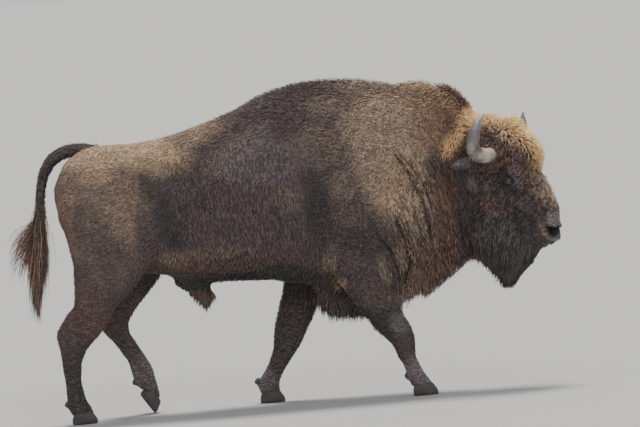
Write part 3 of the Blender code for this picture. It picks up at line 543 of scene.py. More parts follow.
# The buttocks stand out behind, over the thighs.
points[:, 0] -= BUTTOCKS_OUT * bump(oval_reach(at[:, [0, 2]], -1.28, 1.26, 0.26, 0.22), 1.2)
# The mane stands up along the neck's crest, behind the horns, and over the hump's front.
at = body_axes(points)
crest = CREST_UP * bump(line_distance(at[:, [0, 2]], NECK_CREST), 0.17)
crest = np.maximum(crest, HUMP_FRONT_UP * bump(oval_reach(at[:, [0, 2]], 0.83, 1.67, 0.17, 0.17), 1.0))
points[:, 2] += crest * step(normals(hide.data)[:, 2], 0.05, 0.6)
# The right foreleg narrows below the knee, from behind.
points[:, 0] += KNEE_IN * bump(oval_reach(at[:, [0, 2]], 0.51, 0.28, 0.09, 0.13), 1.1) * (at[:, 1] < 0)
# Inside the claws the foot is drawn in, and its sole lifted off the ground.
for place, own, share in within_claws(points):
    own[:, 0] -= share * (0.40 * own[:, 0] + 0.004)
    own[:, 1] -= share * 0.24 * own[:, 1]
    own[:, 2] += share * 0.020 * np.clip(1 - own[:, 2] / 0.05, 0, 1)
    inside = share > 0
    points[inside] = (own @ place[:3, :3].T + place[:3, 3])[inside]
at = head_axes(points)
face = np.flatnonzero(near_face(points))
at[face] = shape_face(at[face])
at[face] = shape_lids(at[face])
points[face] = from_head(at[face])
set_coords(hide.data, points)
hide.data.shade_smooth()


def lay_out(made):
    """The flat layout of a hide, cut into pieces along its sharpest turns. The coat's tufts share it."""
    for layer in list(made.data.uv_layers):
        made.data.uv_layers.remove(layer)
    made.data.uv_layers.new(name="OFBake")
    bpy.context.view_layer.objects.active = made
    made.select_set(True)
    bpy.ops.object.mode_set(mode="EDIT")
    bpy.ops.mesh.select_all(action="SELECT")
    bpy.ops.uv.smart_project(angle_limit=math.radians(66), island_margin=0.002)
    bpy.ops.object.mode_set(mode="OBJECT")
    made.select_set(False)


lay_out(hide)


# --- Dyes -------------------------------------------------------------------------------------
# Hide and coat are dyed alike, by the same soft patches: the animal's own markings, brushed on from tan to
# near black, and painted light and shade: painted highlights on hips, thigh and crest, painted rim light along
# the top edges, painted sheen on the hump and painted shade in hollows, under the jaw and on the far legs.
# Each dye's strength is stored on the meshes, and their materials lay the dyes over each other.
def srgb(*channels):
    values = [channel / 255 for channel in channels]
    return (*(v / 12.92 if v <= 0.04045 else ((v + 0.055) / 1.055) ** 2.4 for v in values), 1)


DYES = {
    "tan": srgb(210, 180, 150),
    "wool": srgb(200, 175, 152),
    "rust": srgb(140, 104, 88),
    "soot": srgb(78, 73, 74),
    "gold": srgb(252, 206, 150),
    "ash": srgb(164, 143, 128),
    "mauve": srgb(158, 144, 149),
}
# A patch is an oval seen from the side: x and z of its middle, radius along, radius up, lean in degrees, strength.
# On the head x runs down the face and z out of it.
PATCHES = {
    # Tan hair on back, hips and crest, with painted highlights on the hip bone, the thigh's muscle, the buttocks' rear
    # edge and the crest, which is lit from behind
    "tan": (
        (-1.04, 1.49, 0.3, 0.13, -4, 1), (-0.72, 1.45, 0.26, 0.12, -8, 1), (-0.5, 1.55, 0.23, 0.09, 10, 0.5),
        (-1.13, 1.25, 0.16, 0.24, 0, 0.34), (-0.95, 0.95, 0.2, 0.26, 0, 0.12), (-0.9, 1.25, 0.2, 0.2, 0, 0.36),
        (-0.888, 1.1, 0.085, 0.19, 4, 0.42), (0.82, 1.46, 0.13, 0.18, -10, 0.75), (1.02, 1.6, 0.15, 0.08, -45, 0.6),
        (0.86, 1.7, 0.14, 0.05, -15, 0.4), (-1.15, 1.02, 0.05, 0.14, 0, 0.3), (-1.02, 1.36, 0.12, 0.08, 0, 0.7),
    ),
    # Pale wool of neck and shoulder; the patches on the hump's side are painted sheen
    "wool": (
        (0.62, 1.27, 0.22, 0.4, 22, 0.9), (0.6, 1.5, 0.26, 0.2, 0, 1), (0.76, 0.95, 0.12, 0.24, 10, 0.38),
        (0.25, 1.42, 0.18, 0.14, -8, 0.25), (0.66, 1.7, 0.36, 0.12, -12, 0.5), (0.3, 1.63, 0.14, 0.06, 0, 0.35),
        (0.7, 0.6, 0.09, 0.13, 20, 0.65), (-0.42, 0.88, 0.3, 0.04, 0, 0.22), (-0.62, 0.87, 0.08, 0.06, 0, 0.35),
        (0.66, 0.76, 0.07, 0.12, 10, 0.6), (0.46, 0.54, 0.06, 0.12, 24, 0.1), (-0.24, 1.43, 0.26, 0.07, 30, 0.15),
        (0.36, 1.2, 0.1, 0.1, 0, 0.35), (0.235, 0.79, 0.045, 0.12, -6, 0.45), (0.53, 0.71, 0.035, 0.09, 10, 0.28),
        (0.58, 0.52, 0.06, 0.08, 0, 0.15), (0.285, 0.66, 0.04, 0.05, 0, 0.65), (0.38, 1.03, 0.1, 0.08, 0, 0.15),
        (0.17, 0.62, 0.08, 0.07, 0, 0.12), (0.05, 1.17, 0.1, 0.08, 0, 0.2),
    ),
    "gold": (
        (0.285, 0.665, 0.04, 0.04, 0, 0.15), (0.64, 1.18, 0.16, 0.24, 0, 0.1), (0.84, 1.62, 0.2, 0.1, -30, 0.12),
    ),
    "rust": (
        (-0.45, 0.83, 0.3, 0.06, 0, 0.4), (0.15, 1.76, 0.25, 0.06, 0, 0.35), (-0.1, 0.82, 0.2, 0.05, 0, 0.3),
        (-0.46, 0.55, 0.08, 0.09, 0, 1), (0.85, 0.7, 0.22, 0.2, 0, 0.6), (0.96, 1.05, 0.14, 0.44, 0, 0.7),
        (0.92, 1.52, 0.18, 0.2, -30, 0.5), (-1.13, 0.62, 0.14, 0.2, 20, 0.35), (-1.22, 1.05, 0.05, 0.26, -6, 0.5),
        (0.49, 0.53, 0.07, 0.14, 24, 0.18), (0.24, 0.7, 0.06, 0.08, 0, 0.3),
    ),
    # Dark hair of legs, belly and throat, and painted shade behind the shoulder, in the hollows of flank and thigh, at
    # the hocks, behind the jaw and over the far legs
    "soot": (
        (0.45, 0.42, 0.4, 0.1, 0, 0.8), (-1.22, 0.2, 0.2, 0.34, 0, 0.55), (-0.88, 0.2, 0.26, 0.4, -20, 0.1),
        (-0.1, 0.25, 0.3, 0.45, 0, 0.4), (-0.25, 0.7, 0.58, 0.055, 0, 1), (0.64, 0.2, 0.2, 0.34, 0, 0.1),
        (0.76, 1.2, 0.06, 0.16, 20, 0.25), (0.895, 1.27, 0.08, 0.1, 0, 0.55), (0.53, 0.58, 0.07, 0.06, 20, 0.3),
        (0.15, 1.76, 0.22, 0.06, 0, 0.4), (-0.02, 0.745, 0.15, 0.045, -4, 0.8), (1.2, 0.68, 0.26, 0.2, 0, 0.85),
        (1.035, 0.92, 0.085, 0.27, 0, 0.8), (0.2, 1.04, 0.08, 0.26, 6, 0.6), (0.42, 0.88, 0.16, 0.09, -25, 0.55),
        (0, 0.62, 0.4, 0.06, 0, 0.4), (-0.63, 1.08, 0.08, 0.2, 14, 0.6), (-0.74, 1.27, 0.05, 0.11, 0, 0.6),
        (-0.5, 1.27, 0.16, 0.16, 0, 0.22), (-0.58, 1.36, 0.08, 0.05, 0, 0.3), (-1.04, 1.17, 0.06, 0.07, 0, 0.3),
        (-0.92, 0.95, 0.06, 0.08, 0, 0.35), (-1.12, 1.1, 0.05, 0.14, -8, 0.45), (-0.99, 0.86, 0.05, 0.14, 10, 0.25),
    ),
    "mauve": (
        (-0.08, 1.37, 0.24, 0.15, 0, 0.35), (0.59, 0.41, 0.07, 0.07, 10, 0.5), (0.67, 0.1, 0.12, 0.13, 0, 0.75),
        (-0.2, 0.12, 0.1, 0.08, 0, 0.5), (-0.85, 0.22, 0.1, 0.14, -20, 0.5),
    ),
}
HEAD_PATCHES = {
    "rust": (
        (0.08, 0.04, 0.2, 0.18, 0, 0.5), (0.3, 0.1, 0.16, 0.06, 0, 0.45), (0.35, -0.15, 0.08, 0.05, 30, 0.5),
        (0.55, -0.085, 0.06, 0.035, 0, 0.4),
    ),
    # Dark hair round the eyes and on the jaw, with painted shade in the jaw's hollow and under it
    "soot": (
        (0.3, 0, 0.095, 0.06, 0, 0.9), (0.36, -0.27, 0.32, 0.09, 0, 0.8), (0.52, -0.2, 0.14, 0.08, 0, 1),
        (0.56, -0.08, 0.12, 0.09, 0, 0.7), (0.1, -0.14, 0.1, 0.12, 0, 0.8),
    ),
    "ash": ((0.46, 0.135, 0.14, 0.055, -5, 1), (0.42, -0.17, 0.05, 0.04, 30, 0.25)),
    "mauve": (
        (0.62, 0.082, 0.055, 0.036, -10, 0.9), (0.315, 0.06, 0.085, 0.034, -18, 0.5),
        (0.12, -0.08, 0.05, 0.05, 0, 0.3),
    ),
}
# Golden hair grows along lines seen from the side: the crest behind the horns, and the mop's upper edge.
# Painted rim light lies along the same lines, where these edges would catch light from above and behind.
GOLD_AND_RIM_LIGHT_LINES = (
    (((0.94, 1.345), (0.978, 1.38), (1.013, 1.41), (1.072, 1.468)), 0.05, 0.85),
    (((1.064, 1.468), (1.16, 1.5), (1.25, 1.475), (1.34, 1.42), (1.435, 1.33), (1.465, 1.24)), 0.072, 1),
    (((1.465, 1.24), (1.475, 1.12), (1.52, 1)), 0.036, 0.9),
    (((0.45, 1.79), (0.6, 1.78), (0.8, 1.74), (0.95, 1.62), (1.02, 1.52)), 0.03, 0.2),
)


def patch_sum(flat, rows):
    found = np.zeros(len(flat))
    for *oval, strength in rows:
        found = np.maximum(found, strength * (1 - step(oval_reach(flat, *oval), 0.55, 1.25)))
    return found


def on_head(points):
    """1 on the head and 0 on the neck."""
    at, own = body_axes(points), head_axes(points)
    behind = at[:, 0] + 0.12 * (at[:, 2] - 1.10)
    return step(behind, 1.03, 1.09) * step(own[:, 0] + 0.35 * own[:, 2], -0.12, 0.0)


def markings_and_painted_light(points):
    """The strength of each dye at points on the body."""
    at, own, head = body_axes(points), head_axes(points), on_head(points)
    found = {}
    for dye in DYES:
        body = patch_sum(at[:, [0, 2]], PATCHES.get(dye, ()))
        face = patch_sum(own[:, [0, 2]], HEAD_PATCHES.get(dye, ()))
        found[dye] = body * (1 - head) + face * head
        # Painted shade under the jaw: the throat's dark dye runs on up under it
        if dye == "soot":  # the throat's runs on under the jaw
            found[dye] = np.maximum(found[dye], body * step(1.25 - at[:, 2], 0, 0.12) * head)
    # The muzzle: a ring of pale hair, bare leather between the nostrils, and painted shade, near black, in their holes
    reach = nostril_reach(own)
    muzzle = step(own[:, 0], 0.58, 0.62) * step(own[:, 2], -0.10, -0.06)
    found["ash"] = np.maximum(found["ash"], 0.7 * bump(abs(reach - 1.75), 0.6) * muzzle * (own[:, 2] < 0.05))
    leather = step(own[:, 0], 0.655, 0.672) * step(own[:, 2], -0.012, 0.0) * (1 - step(abs(own[:, 1]), 0.055, 0.075))
    found["bare"] = np.maximum(bump(reach, 1.4), leather * (1 - step(own[:, 2], 0.060, 0.075))) * muzzle
    found["hole"] = (1 - step(reach, 0.80, 1.15)) * muzzle
    for line, half, strength in GOLD_AND_RIM_LIGHT_LINES:
        found["gold"] = np.maximum(found["gold"], strength * bump(line_distance(at[:, [0, 2]], line), half * 1.5))
    # How near each point is to a neck fold: the tufts there are shorter, and hide and coat get painted shade in the
    # crease
    found["fold"] = np.zeros(len(at))
    for line, deep, _ in NECK_FOLDS:
        strength = min(deep / 0.012, 1)
        found["fold"] = np.maximum(found["fold"], strength * bump(line_distance(at[:, [0, 2]], line), 0.028))
    # How the hair is crimped: upright on the flank, leaning on the neck, curled on the head
    flank = step(at[:, 0], -0.72, -0.60) * (1 - step(at[:, 0], 0.05, 0.25)) * (1 - step(at[:, 2], 1.40, 1.60))
    found["upright"] = flank * step(at[:, 2], 0.60, 0.72)
    found["leaning"] = step(at[:, 0] + 0.25 * (1.2 - at[:, 2]), 0.52, 0.70) * step(at[:, 2], 0.60, 0.72) * (1 - head)
    found["leaning"] *= 1 - 0.6 * step(at[:, 2], 1.25, 1.50)
    found["curly"] = head * (1 - step(own[:, 0], 0.56, 0.61))
    # Rump, lower legs, crest and muzzle are sleek.
    sleek = np.maximum(1 - step(at[:, 0], -0.80, -0.58), 1 - step(at[:, 2], 0.30, 0.60))
    sleek = np.maximum(sleek, 0.75 * bump(line_distance(at[:, [0, 2]], NECK_CREST), 0.15))
    found["sleek"] = np.maximum(sleek * (1 - head), 0.8 * head * step(own[:, 0], 0.58, 0.64))
    return found


def mark(mesh, found):
    """Stores the dyes on the mesh, for its material to read."""
    for dye, values in found.items():
        layer = mesh.attributes.new(dye, "FLOAT", "POINT")
        layer.data.foreach_set("value", values.astype(np.float32))


class Wire:
    """A number on its way between shader nodes, which can be written into sums."""

    def __init__(self, dyer, socket):
        self.dyer, self.socket = dyer, socket

    def sum(self, operation, *others):
        return self.dyer.node("ShaderNodeMath", {"operation": operation}, *others)

    def __add__(self, other):
        return self.sum("ADD", self, other)

    def __sub__(self, other):
        return self.sum("SUBTRACT", self, other)

    def __rsub__(self, other):
        return self.sum("SUBTRACT", other, self)

    def __mul__(self, other):
        return self.sum("MULTIPLY", self, other)

    def size(self):
        return self.sum("ABSOLUTE", self)

    def capped(self, most):
        return self.sum("MINIMUM", self, most)

    def held(self):
        """Kept between 0 and 1."""
        return self.dyer.node("ShaderNodeClamp", {}, self)

    __radd__, __rmul__ = __add__, __mul__


class Dyer:
    """Makes one material's nodes."""

    def __init__(self, name):
        self.material = bpy.data.materials.new(name)
        self.material.use_nodes = True
        self.tree = self.material.node_tree
        self.shader = self.tree.nodes["Principled BSDF"]

    def node(self, kind, settings, *values, out=0, **named):
        """A node of a kind, with its settings and the values or wires of its sockets; returns one of its outputs."""
        made = self.tree.nodes.new(kind)
        for name, value in settings.items():
            if name == "stops":
                self.set_stops(made.color_ramp.elements, value)
            else:
                setattr(made, name, value)
        for key, value in (*enumerate(values), *((name.replace("_", " "), v) for name, v in named.items())):
            self.feed(made.inputs[key], value)
        return Wire(self, made.outputs[out])

    def set_stops(self, elements, stops):
        """A ramp's stops, of which it has those at 0 and 1 already."""
        for place, shade in stops:
            stop = elements[int(-place)] if place in (0, 1) else elements.new(place)
            stop.color = shade

    def feed(self, socket, value):
        if isinstance(value, Wire):
            self.tree.links.new(value.socket, socket)
        elif value is not None:
            socket.default_value = value

    def place(self):
        return self.node("ShaderNodeTexCoord", {}, out="Object")

    def read(self, name):
        return self.node("ShaderNodeAttribute", {"attribute_name": name}, out="Fac")

    def noise(self, scale, detail=2.0, roughness=0.5, stretch=None):
        place = self.place()
        if stretch:
            place = self.node("ShaderNodeMapping", {}, place, Scale=stretch)
        return self.node("ShaderNodeTexNoise", {}, Vector=place, Scale=scale, Detail=detail, Roughness=roughness)

    def mix(self, share, low, high, kind="MIX"):
        """Two colours mixed, through the node's sockets for colours."""
        settings = {"data_type": "RGBA", "blend_type": kind, "clamp_result": kind == "MULTIPLY"}
        return self.node("ShaderNodeMix", settings, share, *[None] * 5, low, high, out=2)

    def grey(self, value):
        """A number as a grey colour."""
        return self.node("ShaderNodeCombineColor", {}, value, value, value)

    def finish(self, colour=None, roughness=None, height=None, depth=0.002, strength=1.0, **fixed):
        """Feeds the shader and sets its fixed values."""
        self.feed(self.shader.inputs["Base Color"], colour)
        self.feed(self.shader.inputs["Roughness"], roughness)
        if height is not None:
            normal = self.node("ShaderNodeBump", {}, Strength=strength, Distance=depth, Height=height, out="Normal")
            self.feed(self.shader.inputs["Normal"], normal)
        for name, value in fixed.items():
            self.shader.inputs[name.replace("_", " ")].default_value = value
        return self.material


UMBER = srgb(118, 103, 102)


def coat_colour(dyer):
    """The colour of the markings and of the painted light and shade, with borders broken up by cloudy unevenness."""
    cloud = dyer.noise(3.0, 3.0, 0.6)
    fine = dyer.noise(24.0, 2.0, 0.6)
    colour = dyer.mix(cloud, UMBER, srgb(104, 90, 88))
    for dye, shade in DYES.items():
        share = dyer.read(dye) * (0.55 + 0.5 * cloud + 0.4 * fine)
        colour = dyer.mix(share.held(), colour, shade)
    return colour


def ridges(dyer, scale, lean, stretch):
    """Long ridges of crimped hair with narrow furrows between, at a lean from upright in degrees: 0 in a furrow."""
    turn = {"vector_type": "TEXTURE"}
    place = dyer.node("ShaderNodeMapping", turn, dyer.place(), Rotation=(0, math.radians(lean), 0), Scale=stretch)
    level = dyer.node("ShaderNodeTexNoise", {}, Vector=place, Scale=scale, Detail=2.0, Roughness=0.55)
    return ((level - 0.5).size() * 9.0).held()


def crimp(dyer):
    """The coat's crimp: upright on the flank, leaning on the neck, curled on the head, across on hump and legs."""
    upright, leaning, curly = dyer.read("upright"), dyer.read("leaning"), dyer.read("curly")
    across = ridges(dyer, 80.0, 90, (1.0, 1.5, 3.0))
    down = ridges(dyer, 80.0, 0, (1.0, 1.5, 5.0))
    neck = ridges(dyer, 46.0, -20, (1.0, 1.5, 4.5))
    curls = ridges(dyer, 42.0, 25, (1.0, 1.2, 1.8))
    return across * (1 - upright - leaning - curly) + down * upright + neck * leaning + curls * curly


hide_dyer = Dyer("hide")
under = coat_colour(hide_dyer)
hair_lines = crimp(hide_dyer)
# Painted shade: the hide between the tufts is darkened as if in the coat's shade, most in the crimp's furrows, in
# folds, under the curls of the head and under the golden lines
shade = 0.16 + 0.62 * hair_lines - 0.25 * hide_dyer.read("fold")
shade = shade * (1 - 0.45 * hide_dyer.read("curly")) * (1 - 0.35 * hide_dyer.read("gold"))
under = hide_dyer.mix(1.0, under, hide_dyer.grey(shade), "MULTIPLY")
bare = hide_dyer.read("bare").held()
leather = hide_dyer.mix(hide_dyer.noise(150.0, 2.0, 0.6), srgb(64, 58, 60), srgb(92, 82, 82))
under = hide_dyer.mix(bare, under, leather)
# Painted shade inside the nostrils: near black
under = hide_dyer.mix(hide_dyer.read("hole").held(), under, srgb(14, 11, 12))
hide.data.materials.clear()
hide.data.materials.append(
    hide_dyer.finish(under, 0.85 - 0.5 * bare, hair_lines, 0.003, 0.8, Specular_IOR_Level=0.3)
)
mark(hide.data, markings_and_painted_light(coords(hide.data)))
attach(hide, "root")
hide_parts(*(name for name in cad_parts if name.startswith(FLESH)))


# --- The coat ---------------------------------------------------------------------------------
# Wool and guard hair are set into the hide tuft by tuft, each one a tapered, three-sided lock that lies
# along the body over the next one's root. The longest stand on mop and crest, the shortest on face and feet.
COAT_PATCH = 0.003  # a tuft's patch on the hide's layout


def mesh_from(name, points, faces):
    """A mesh of three- and four-cornered faces; a face of three repeats its last corner."""
    corners = np.where(faces[:, 2] == faces[:, 3], 3, 4)
    keep = np.ones(faces.shape, bool)
    keep[:, 3] = corners == 4
    mesh = bpy.data.meshes.new(name)
    mesh.vertices.add(len(points))
    mesh.vertices.foreach_set("co", points.astype(np.float32).ravel())
    mesh.loops.add(int(corners.sum()))
    mesh.loops.foreach_set("vertex_index", faces[keep].astype(np.int32))
    mesh.polygons.add(len(faces))
    mesh.polygons.foreach_set("loop_start", np.concatenate([[0], np.cumsum(corners)[:-1]]).astype(np.int32))
    mesh.polygons.foreach_set("use_smooth", np.ones(len(faces), bool))
    mesh.update(calc_edges=True)
    return mesh


class Ground:
    """The surface that hair grows on: its triangles, and the layout's place of each corner."""

    def __init__(self, made):
        mesh = made.data
        mesh.calc_loop_triangles()
        count = len(mesh.loop_triangles)
        corners, loops = np.empty(count * 3, np.int32), np.empty(count * 3, np.int32)
        mesh.loop_triangles.foreach_get("vertices", corners)
        mesh.loop_triangles.foreach_get("loops", loops)
        flat = np.empty(len(mesh.loops) * 2, np.float32)
        mesh.uv_layers["OFBake"].data.foreach_get("uv", flat)
        self.corners = coords(mesh)[corners].reshape(-1, 3, 3)
        self.turns = normals(mesh)[corners].reshape(-1, 3, 3)
        self.flat = flat.reshape(-1, 2)[loops].reshape(-1, 3, 2).astype(float)
        edges = self.corners[:, 1:] - self.corners[:, :1]
        self.area = np.linalg.norm(np.cross(edges[:, 0], edges[:, 1]), axis=1) / 2
        self.middle, self.facing = self.corners.mean(1), unit(self.turns.mean(1))

    def roots(self, per_area):
        """Roots strewn over the surface, so many to the square metre, with normals and layout places."""
        wanted = per_area * self.area
        count = int(wanted.sum())
        # One draw in each equal step of the running sum spreads the roots evenly.
        steps = (np.arange(count) + random.random(count)) / max(count, 1) * wanted.sum()
        chosen = np.minimum(np.searchsorted(np.cumsum(wanted), steps), len(wanted) - 1)
        share = random.dirichlet((1, 1, 1), count)[..., None]
        return (
            (self.corners[chosen] * share).sum(1),
            unit((self.turns[chosen] * share).sum(1)),
            (self.flat[chosen] * share).sum(1),
        )


def wander(points, size, seed):
    """A smooth random number from about -1 to 1 at each point, changing over the size given."""
    found = np.zeros(len(points))
    own = np.random.default_rng(seed)
    for _ in range(5):
        way = unit(own.normal(size=3)) * own.uniform(0.6, 1.5) * 2 * math.pi / size
        found += np.sin(points @ way + own.uniform(0, 6.3))
    return found / 2.6


def ripple_light_and_shade(at):
    """Painted light and shade of ripples that run down the flank a finger's breadth apart and fork here and there, 0 to
    1.
    """
    drift = 0.016 * np.sin(at[:, 2] * 7.0 + at[:, 0] * 3.1) + 0.007 * np.sin(at[:, 2] * 19.0 + at[:, 0] * 11.0)
    x = at[:, 0] + drift + 0.010 * at[:, 2]
    found = np.sin(2 * math.pi * x / 0.0150) + 0.8 * np.sin(2 * math.pi * (x / 0.0213 + 0.4 * np.sin(at[:, 2] * 9.0)))
    return step(found, -0.9, 0.9)


def grow(name, slot, roots, up, flat, lie, length, rise, width, wave, rings=3, beat=0.028, fall=0.0, thick=0.45,
         tone=None, taper=0.7, sink=0.004, dyes=None, replaced=()):
    """One piece of coat. Each tuft leaves the hide, leans over to its lie, rises by its rise and waves to and fro."""
    count = len(roots)
    lie = unit(lie - up * dot(lie, up)[:, None])
    across = np.cross(up, lie)
    starts = random.uniform(0, 6.3, count)
    rows, sides = [], []
    for k in range(rings + 1):
        t = k / rings
        sway = wave * np.sin(starts + length * t / beat * 2 * math.pi) * min(1, 3 * t)
        middle = roots + lie * (length * t)[:, None] + up * (rise * (1 - (1 - t) ** 2) - sink * (1 - t))[:, None]
        middle = middle + across * sway[:, None]
        middle[:, 2] -= fall * length * t**2
        rows.append(middle)
        sides.append(width * max(0.0, 1 - t**2) ** taper)
    points = np.empty((count, 3 * rings + 1, 3))
    for k in range(rings):
        half = (across * sides[k][:, None]) / 2
        points[:, 3 * k] = rows[k] - half
        points[:, 3 * k + 1] = rows[k] + half
        points[:, 3 * k + 2] = rows[k] + up * (sides[k] * thick)[:, None]
    points[:, -1] = rows[rings]
    faces = [(0, 2, 1, 1)]
    for k in range(rings - 1):
        a = 3 * k
        for one, other in ((0, 1), (1, 2), (2, 0)):
            faces.append((a + one, a + other, a + 3 + other, a + 3 + one))
    a, tip = 3 * rings - 3, 3 * rings
    faces += [(a, a + 1, tip, tip), (a + 1, a + 2, tip, tip), (a + 2, a, tip, tip)]
    faces = np.array(faces)
    per = 3 * rings + 1
    all_faces = (faces[None] + per * np.arange(count)[:, None, None]).reshape(-1, 4)
    mesh = mesh_from(name, points.reshape(-1, 3), all_faces)
    along = np.repeat(np.arange(rings + 1) / rings, [3] * rings + [1])
    spot = np.zeros((per, 2))
    spot[:, 1] = along
    spot[:-1, 0] = np.tile((0, 1, 0.5), rings)
    spot[-1, 0] = 0.5
    places = (flat[:, None, :] + (spot[None] - 0.5) * COAT_PATCH).reshape(-1, 2)
    layer = mesh.uv_layers.new(name="OFBake")
    corner = np.empty(len(mesh.loops), np.int32)
    mesh.loops.foreach_get("vertex_index", corner)
    layer.data.foreach_set("uv", places[corner].astype(np.float32).ravel())
    found = markings_and_painted_light(roots)
    del found["bare"], found["hole"]
    for dye, value in (dyes or {}).items():
        found[dye] = np.full(count, value) if np.isscalar(value) else value
    found["tone"] = random.random(count) if tone is None else tone
    # Painted light and shade of the flank's ripples, laid into the tufts' tone
    found["tone"] = found["tone"] + 0.30 * found["upright"] * (ripple_light_and_shade(body_axes(roots)) - 0.5)
    mark(mesh, {dye: np.repeat(values, per) for dye, values in found.items()})
    mark(mesh, {"tip": np.tile(along, count)})
    mesh.materials.append(coat_material)
    made = new_piece(name, mesh, slot)
    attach(made, "root")
    if replaced:
        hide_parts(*replaced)
    return made


# Tufts are darker at their roots, in the crimp's furrows and in folds: painted shade. Along the golden lines they are
# brighter: painted rim light. No two are of quite the same tone.
coat_dyer = Dyer("coat")
tone, tip, gold, sleek, curly, fold = map(coat_dyer.read, ("tone", "tip", "gold", "sleek", "curly", "fold"))
shade = (0.84 - 0.02 * sleek) + (0.60 - 0.20 * sleek) * tone
# The golden lines lift both the furrows and the tips: painted rim light
furrow, ridge = 0.30 + 0.56 * sleek - 0.12 * curly + 0.32 * gold, 1.00 - 0.82 * sleek + 0.35 * curly
shade = shade * (0.46 + 0.70 * tip + 0.25 * gold) * (furrow + ridge * crimp(coat_dyer))
shade = (shade * (1 - 0.85 * fold * fold * fold)).capped(1.35)
colour = coat_dyer.mix(1.0, coat_colour(coat_dyer), coat_dyer.grey(shade), "MULTIPLY")
coat_material = coat_dyer.finish(colour, 0.75, Specular_IOR_Level=0.25, Sheen_Weight=0.12, Sheen_Roughness=0.4)

ground = Ground(hide)
lies, values = coat_at(ground.middle)
middle, own = body_axes(ground.middle), head_axes(ground.middle)
bare = markings_and_painted_light(ground.middle)["bare"]
eye_gap = np.linalg.norm(np.column_stack([own[:, 0], -abs(own[:, 1]), own[:, 2]]) - np.array(EYE), axis=1)
cover = np.where((bare > 0.3) | (eye_gap < 0.027), 0, 1.0)
for _, _, share in within_claws(ground.middle):
    cover[share > 0.55] = 0
head_share = on_head(ground.middle)
on, short = head_share > 0.5, values[:, LENGTH] < 0.034
x, y, z = middle.T
regions = {"face": on & (own[:, 0] > 0.22) & (own[:, 2] > -0.20) & short}
regions["mop"] = on & ~regions["face"] & (own[:, 2] > -0.02) & (own[:, 0] < 0.40)
regions["jaw"] = on & ~regions["face"] & ~regions["mop"]
regions["legs"] = ~on & (x <= 0.56) & (z < 0.62) & short
for part, rear, front in (("neck", 0.56, np.inf), ("hump", -0.02, 0.56), ("flank", -0.64, -0.02),
                          ("rump", -np.inf, -0.64)):
    inside = ~on & ~regions["legs"] & (x > rear) & (x <= front)
    regions[f"{part}_right"], regions[f"{part}_left"] = inside & (y < 0), inside & (y >= 0)
# Region: slot, how many tufts deep the coat is, rings in a tuft, wave length, how far clumps differ in tone
COATS = {
    "face": ("head", 2.7, 2, 0.02, 1.8),
    "mop": ("forelock", 4, 5, 0.036, 1),
    "jaw": ("beard", 2.5, 4, 0.04, 1.4),
    "neck_right": ("neck", 2.6, 2, 0.024, 0.75),
    "neck_left": ("neck", 2.1, 2, 0.024, 0.75),
    "legs": ("cannon", 1.05, 2, 0.03, 0.45),
    "hump_right": ("withers", 2.4, 2, 0.024, 0.75),
    "hump_left": ("withers", 1.6, 2, 0.024, 0.75),
    "flank_right": ("barrel", 1.9, 2, 0.03, 0.45),
    "flank_left": ("barrel", 1.5, 2, 0.03, 0.45),
    "rump_right": ("rump", 1.5, 2, 0.03, 0.25),
    "rump_left": ("rump", 1.15, 2, 0.03, 0.25),
}
CREST_REACH, CREST_RISE = 0.14, 0.012  # the mane stands up and is denser along the neck's crest
for region, (slot, layers, rings, beat, rough) in COATS.items():
    per_area = layers / (values[:, LENGTH] * values[:, WIDTH]) * cover * regions[region]
    per_area *= 1 + 1.2 * bump(line_distance(middle[:, [0, 2]], NECK_CREST), CREST_REACH)
    roots, up, flat = ground.roots(per_area)
    lie, size = coat_at(roots)
    count = len(roots)
    # Neighbours part and cross a little, and gather in clumps.
    turn = 0.35 * wander(roots, 0.16, 3) + random.normal(0, 0.32 if region == "mop" else 0.18, count)
    lie = unit(lie - up * dot(lie, up)[:, None])
    lie = unit(lie * np.cos(turn)[:, None] + np.cross(up, lie) * np.sin(turn)[:, None])
    clump = 0.5 + 0.5 * wander(roots, 0.035, 9)
    creased = markings_and_painted_light(roots)["fold"]
    length = size[:, LENGTH] * random.uniform(0.75, 1.2, count) * (1 - 0.65 * creased)
    rise = size[:, DEPTH] * np.clip(0.55 + 0.45 * clump + random.uniform(-0.25, 0.25, count), 0.1, 1.25)
    crest = bump(line_distance(body_axes(roots)[:, [0, 2]], NECK_CREST), CREST_REACH)
    rise += CREST_RISE * crest * random.uniform(0.3, 1.3, count)
    if region in ("face", "jaw", "mop"):
        clump = 0.5 + 0.5 * wander(roots, 0.018 if region == "face" else 0.026, 13)
    even = 0.4 if region == "jaw" else 0.5
    tone = np.clip(even + rough * (clump - 0.5) + random.normal(0, 0.20, count), 0, 1.15)
    grow(f"coat_{region}", slot, roots, up, flat, lie, length, rise, size[:, WIDTH] * random.uniform(0.55, 1.0, count),
         size[:, WAVE] * random.uniform(0.5, 1.2, count), rings=rings, beat=beat * random.uniform(0.8, 1.6, count),
         tone=tone)


# --- Tail -------------------------------------------------------------------------------------
# The dock is a tapering rod of flesh under short dark hair. From half way down it carries long straight
# locks, which hang past its end in a brush, with one wisp swung out behind.
TAIL_LINE = (
    (-1, 0, 1.478, 0.03), (-1.07, 0, 1.497, 0.033), (-1.14, 0, 1.502, 0.033), (-1.2, 0, 1.49, 0.032),
    (-1.258, 0, 1.458, 0.03), (-1.303, 0, 1.4, 0.026), (-1.331, 0, 1.32, 0.023), (-1.345, 0, 1.23, 0.02),
    (-1.355, 0, 1.14, 0.018), (-1.368, 0, 1.06, 0.016), (-1.378, 0, 0.98, 0.014), (-1.385, 0, 0.9, 0.011),
    (-1.392, 0, 0.84, 0.006),
)


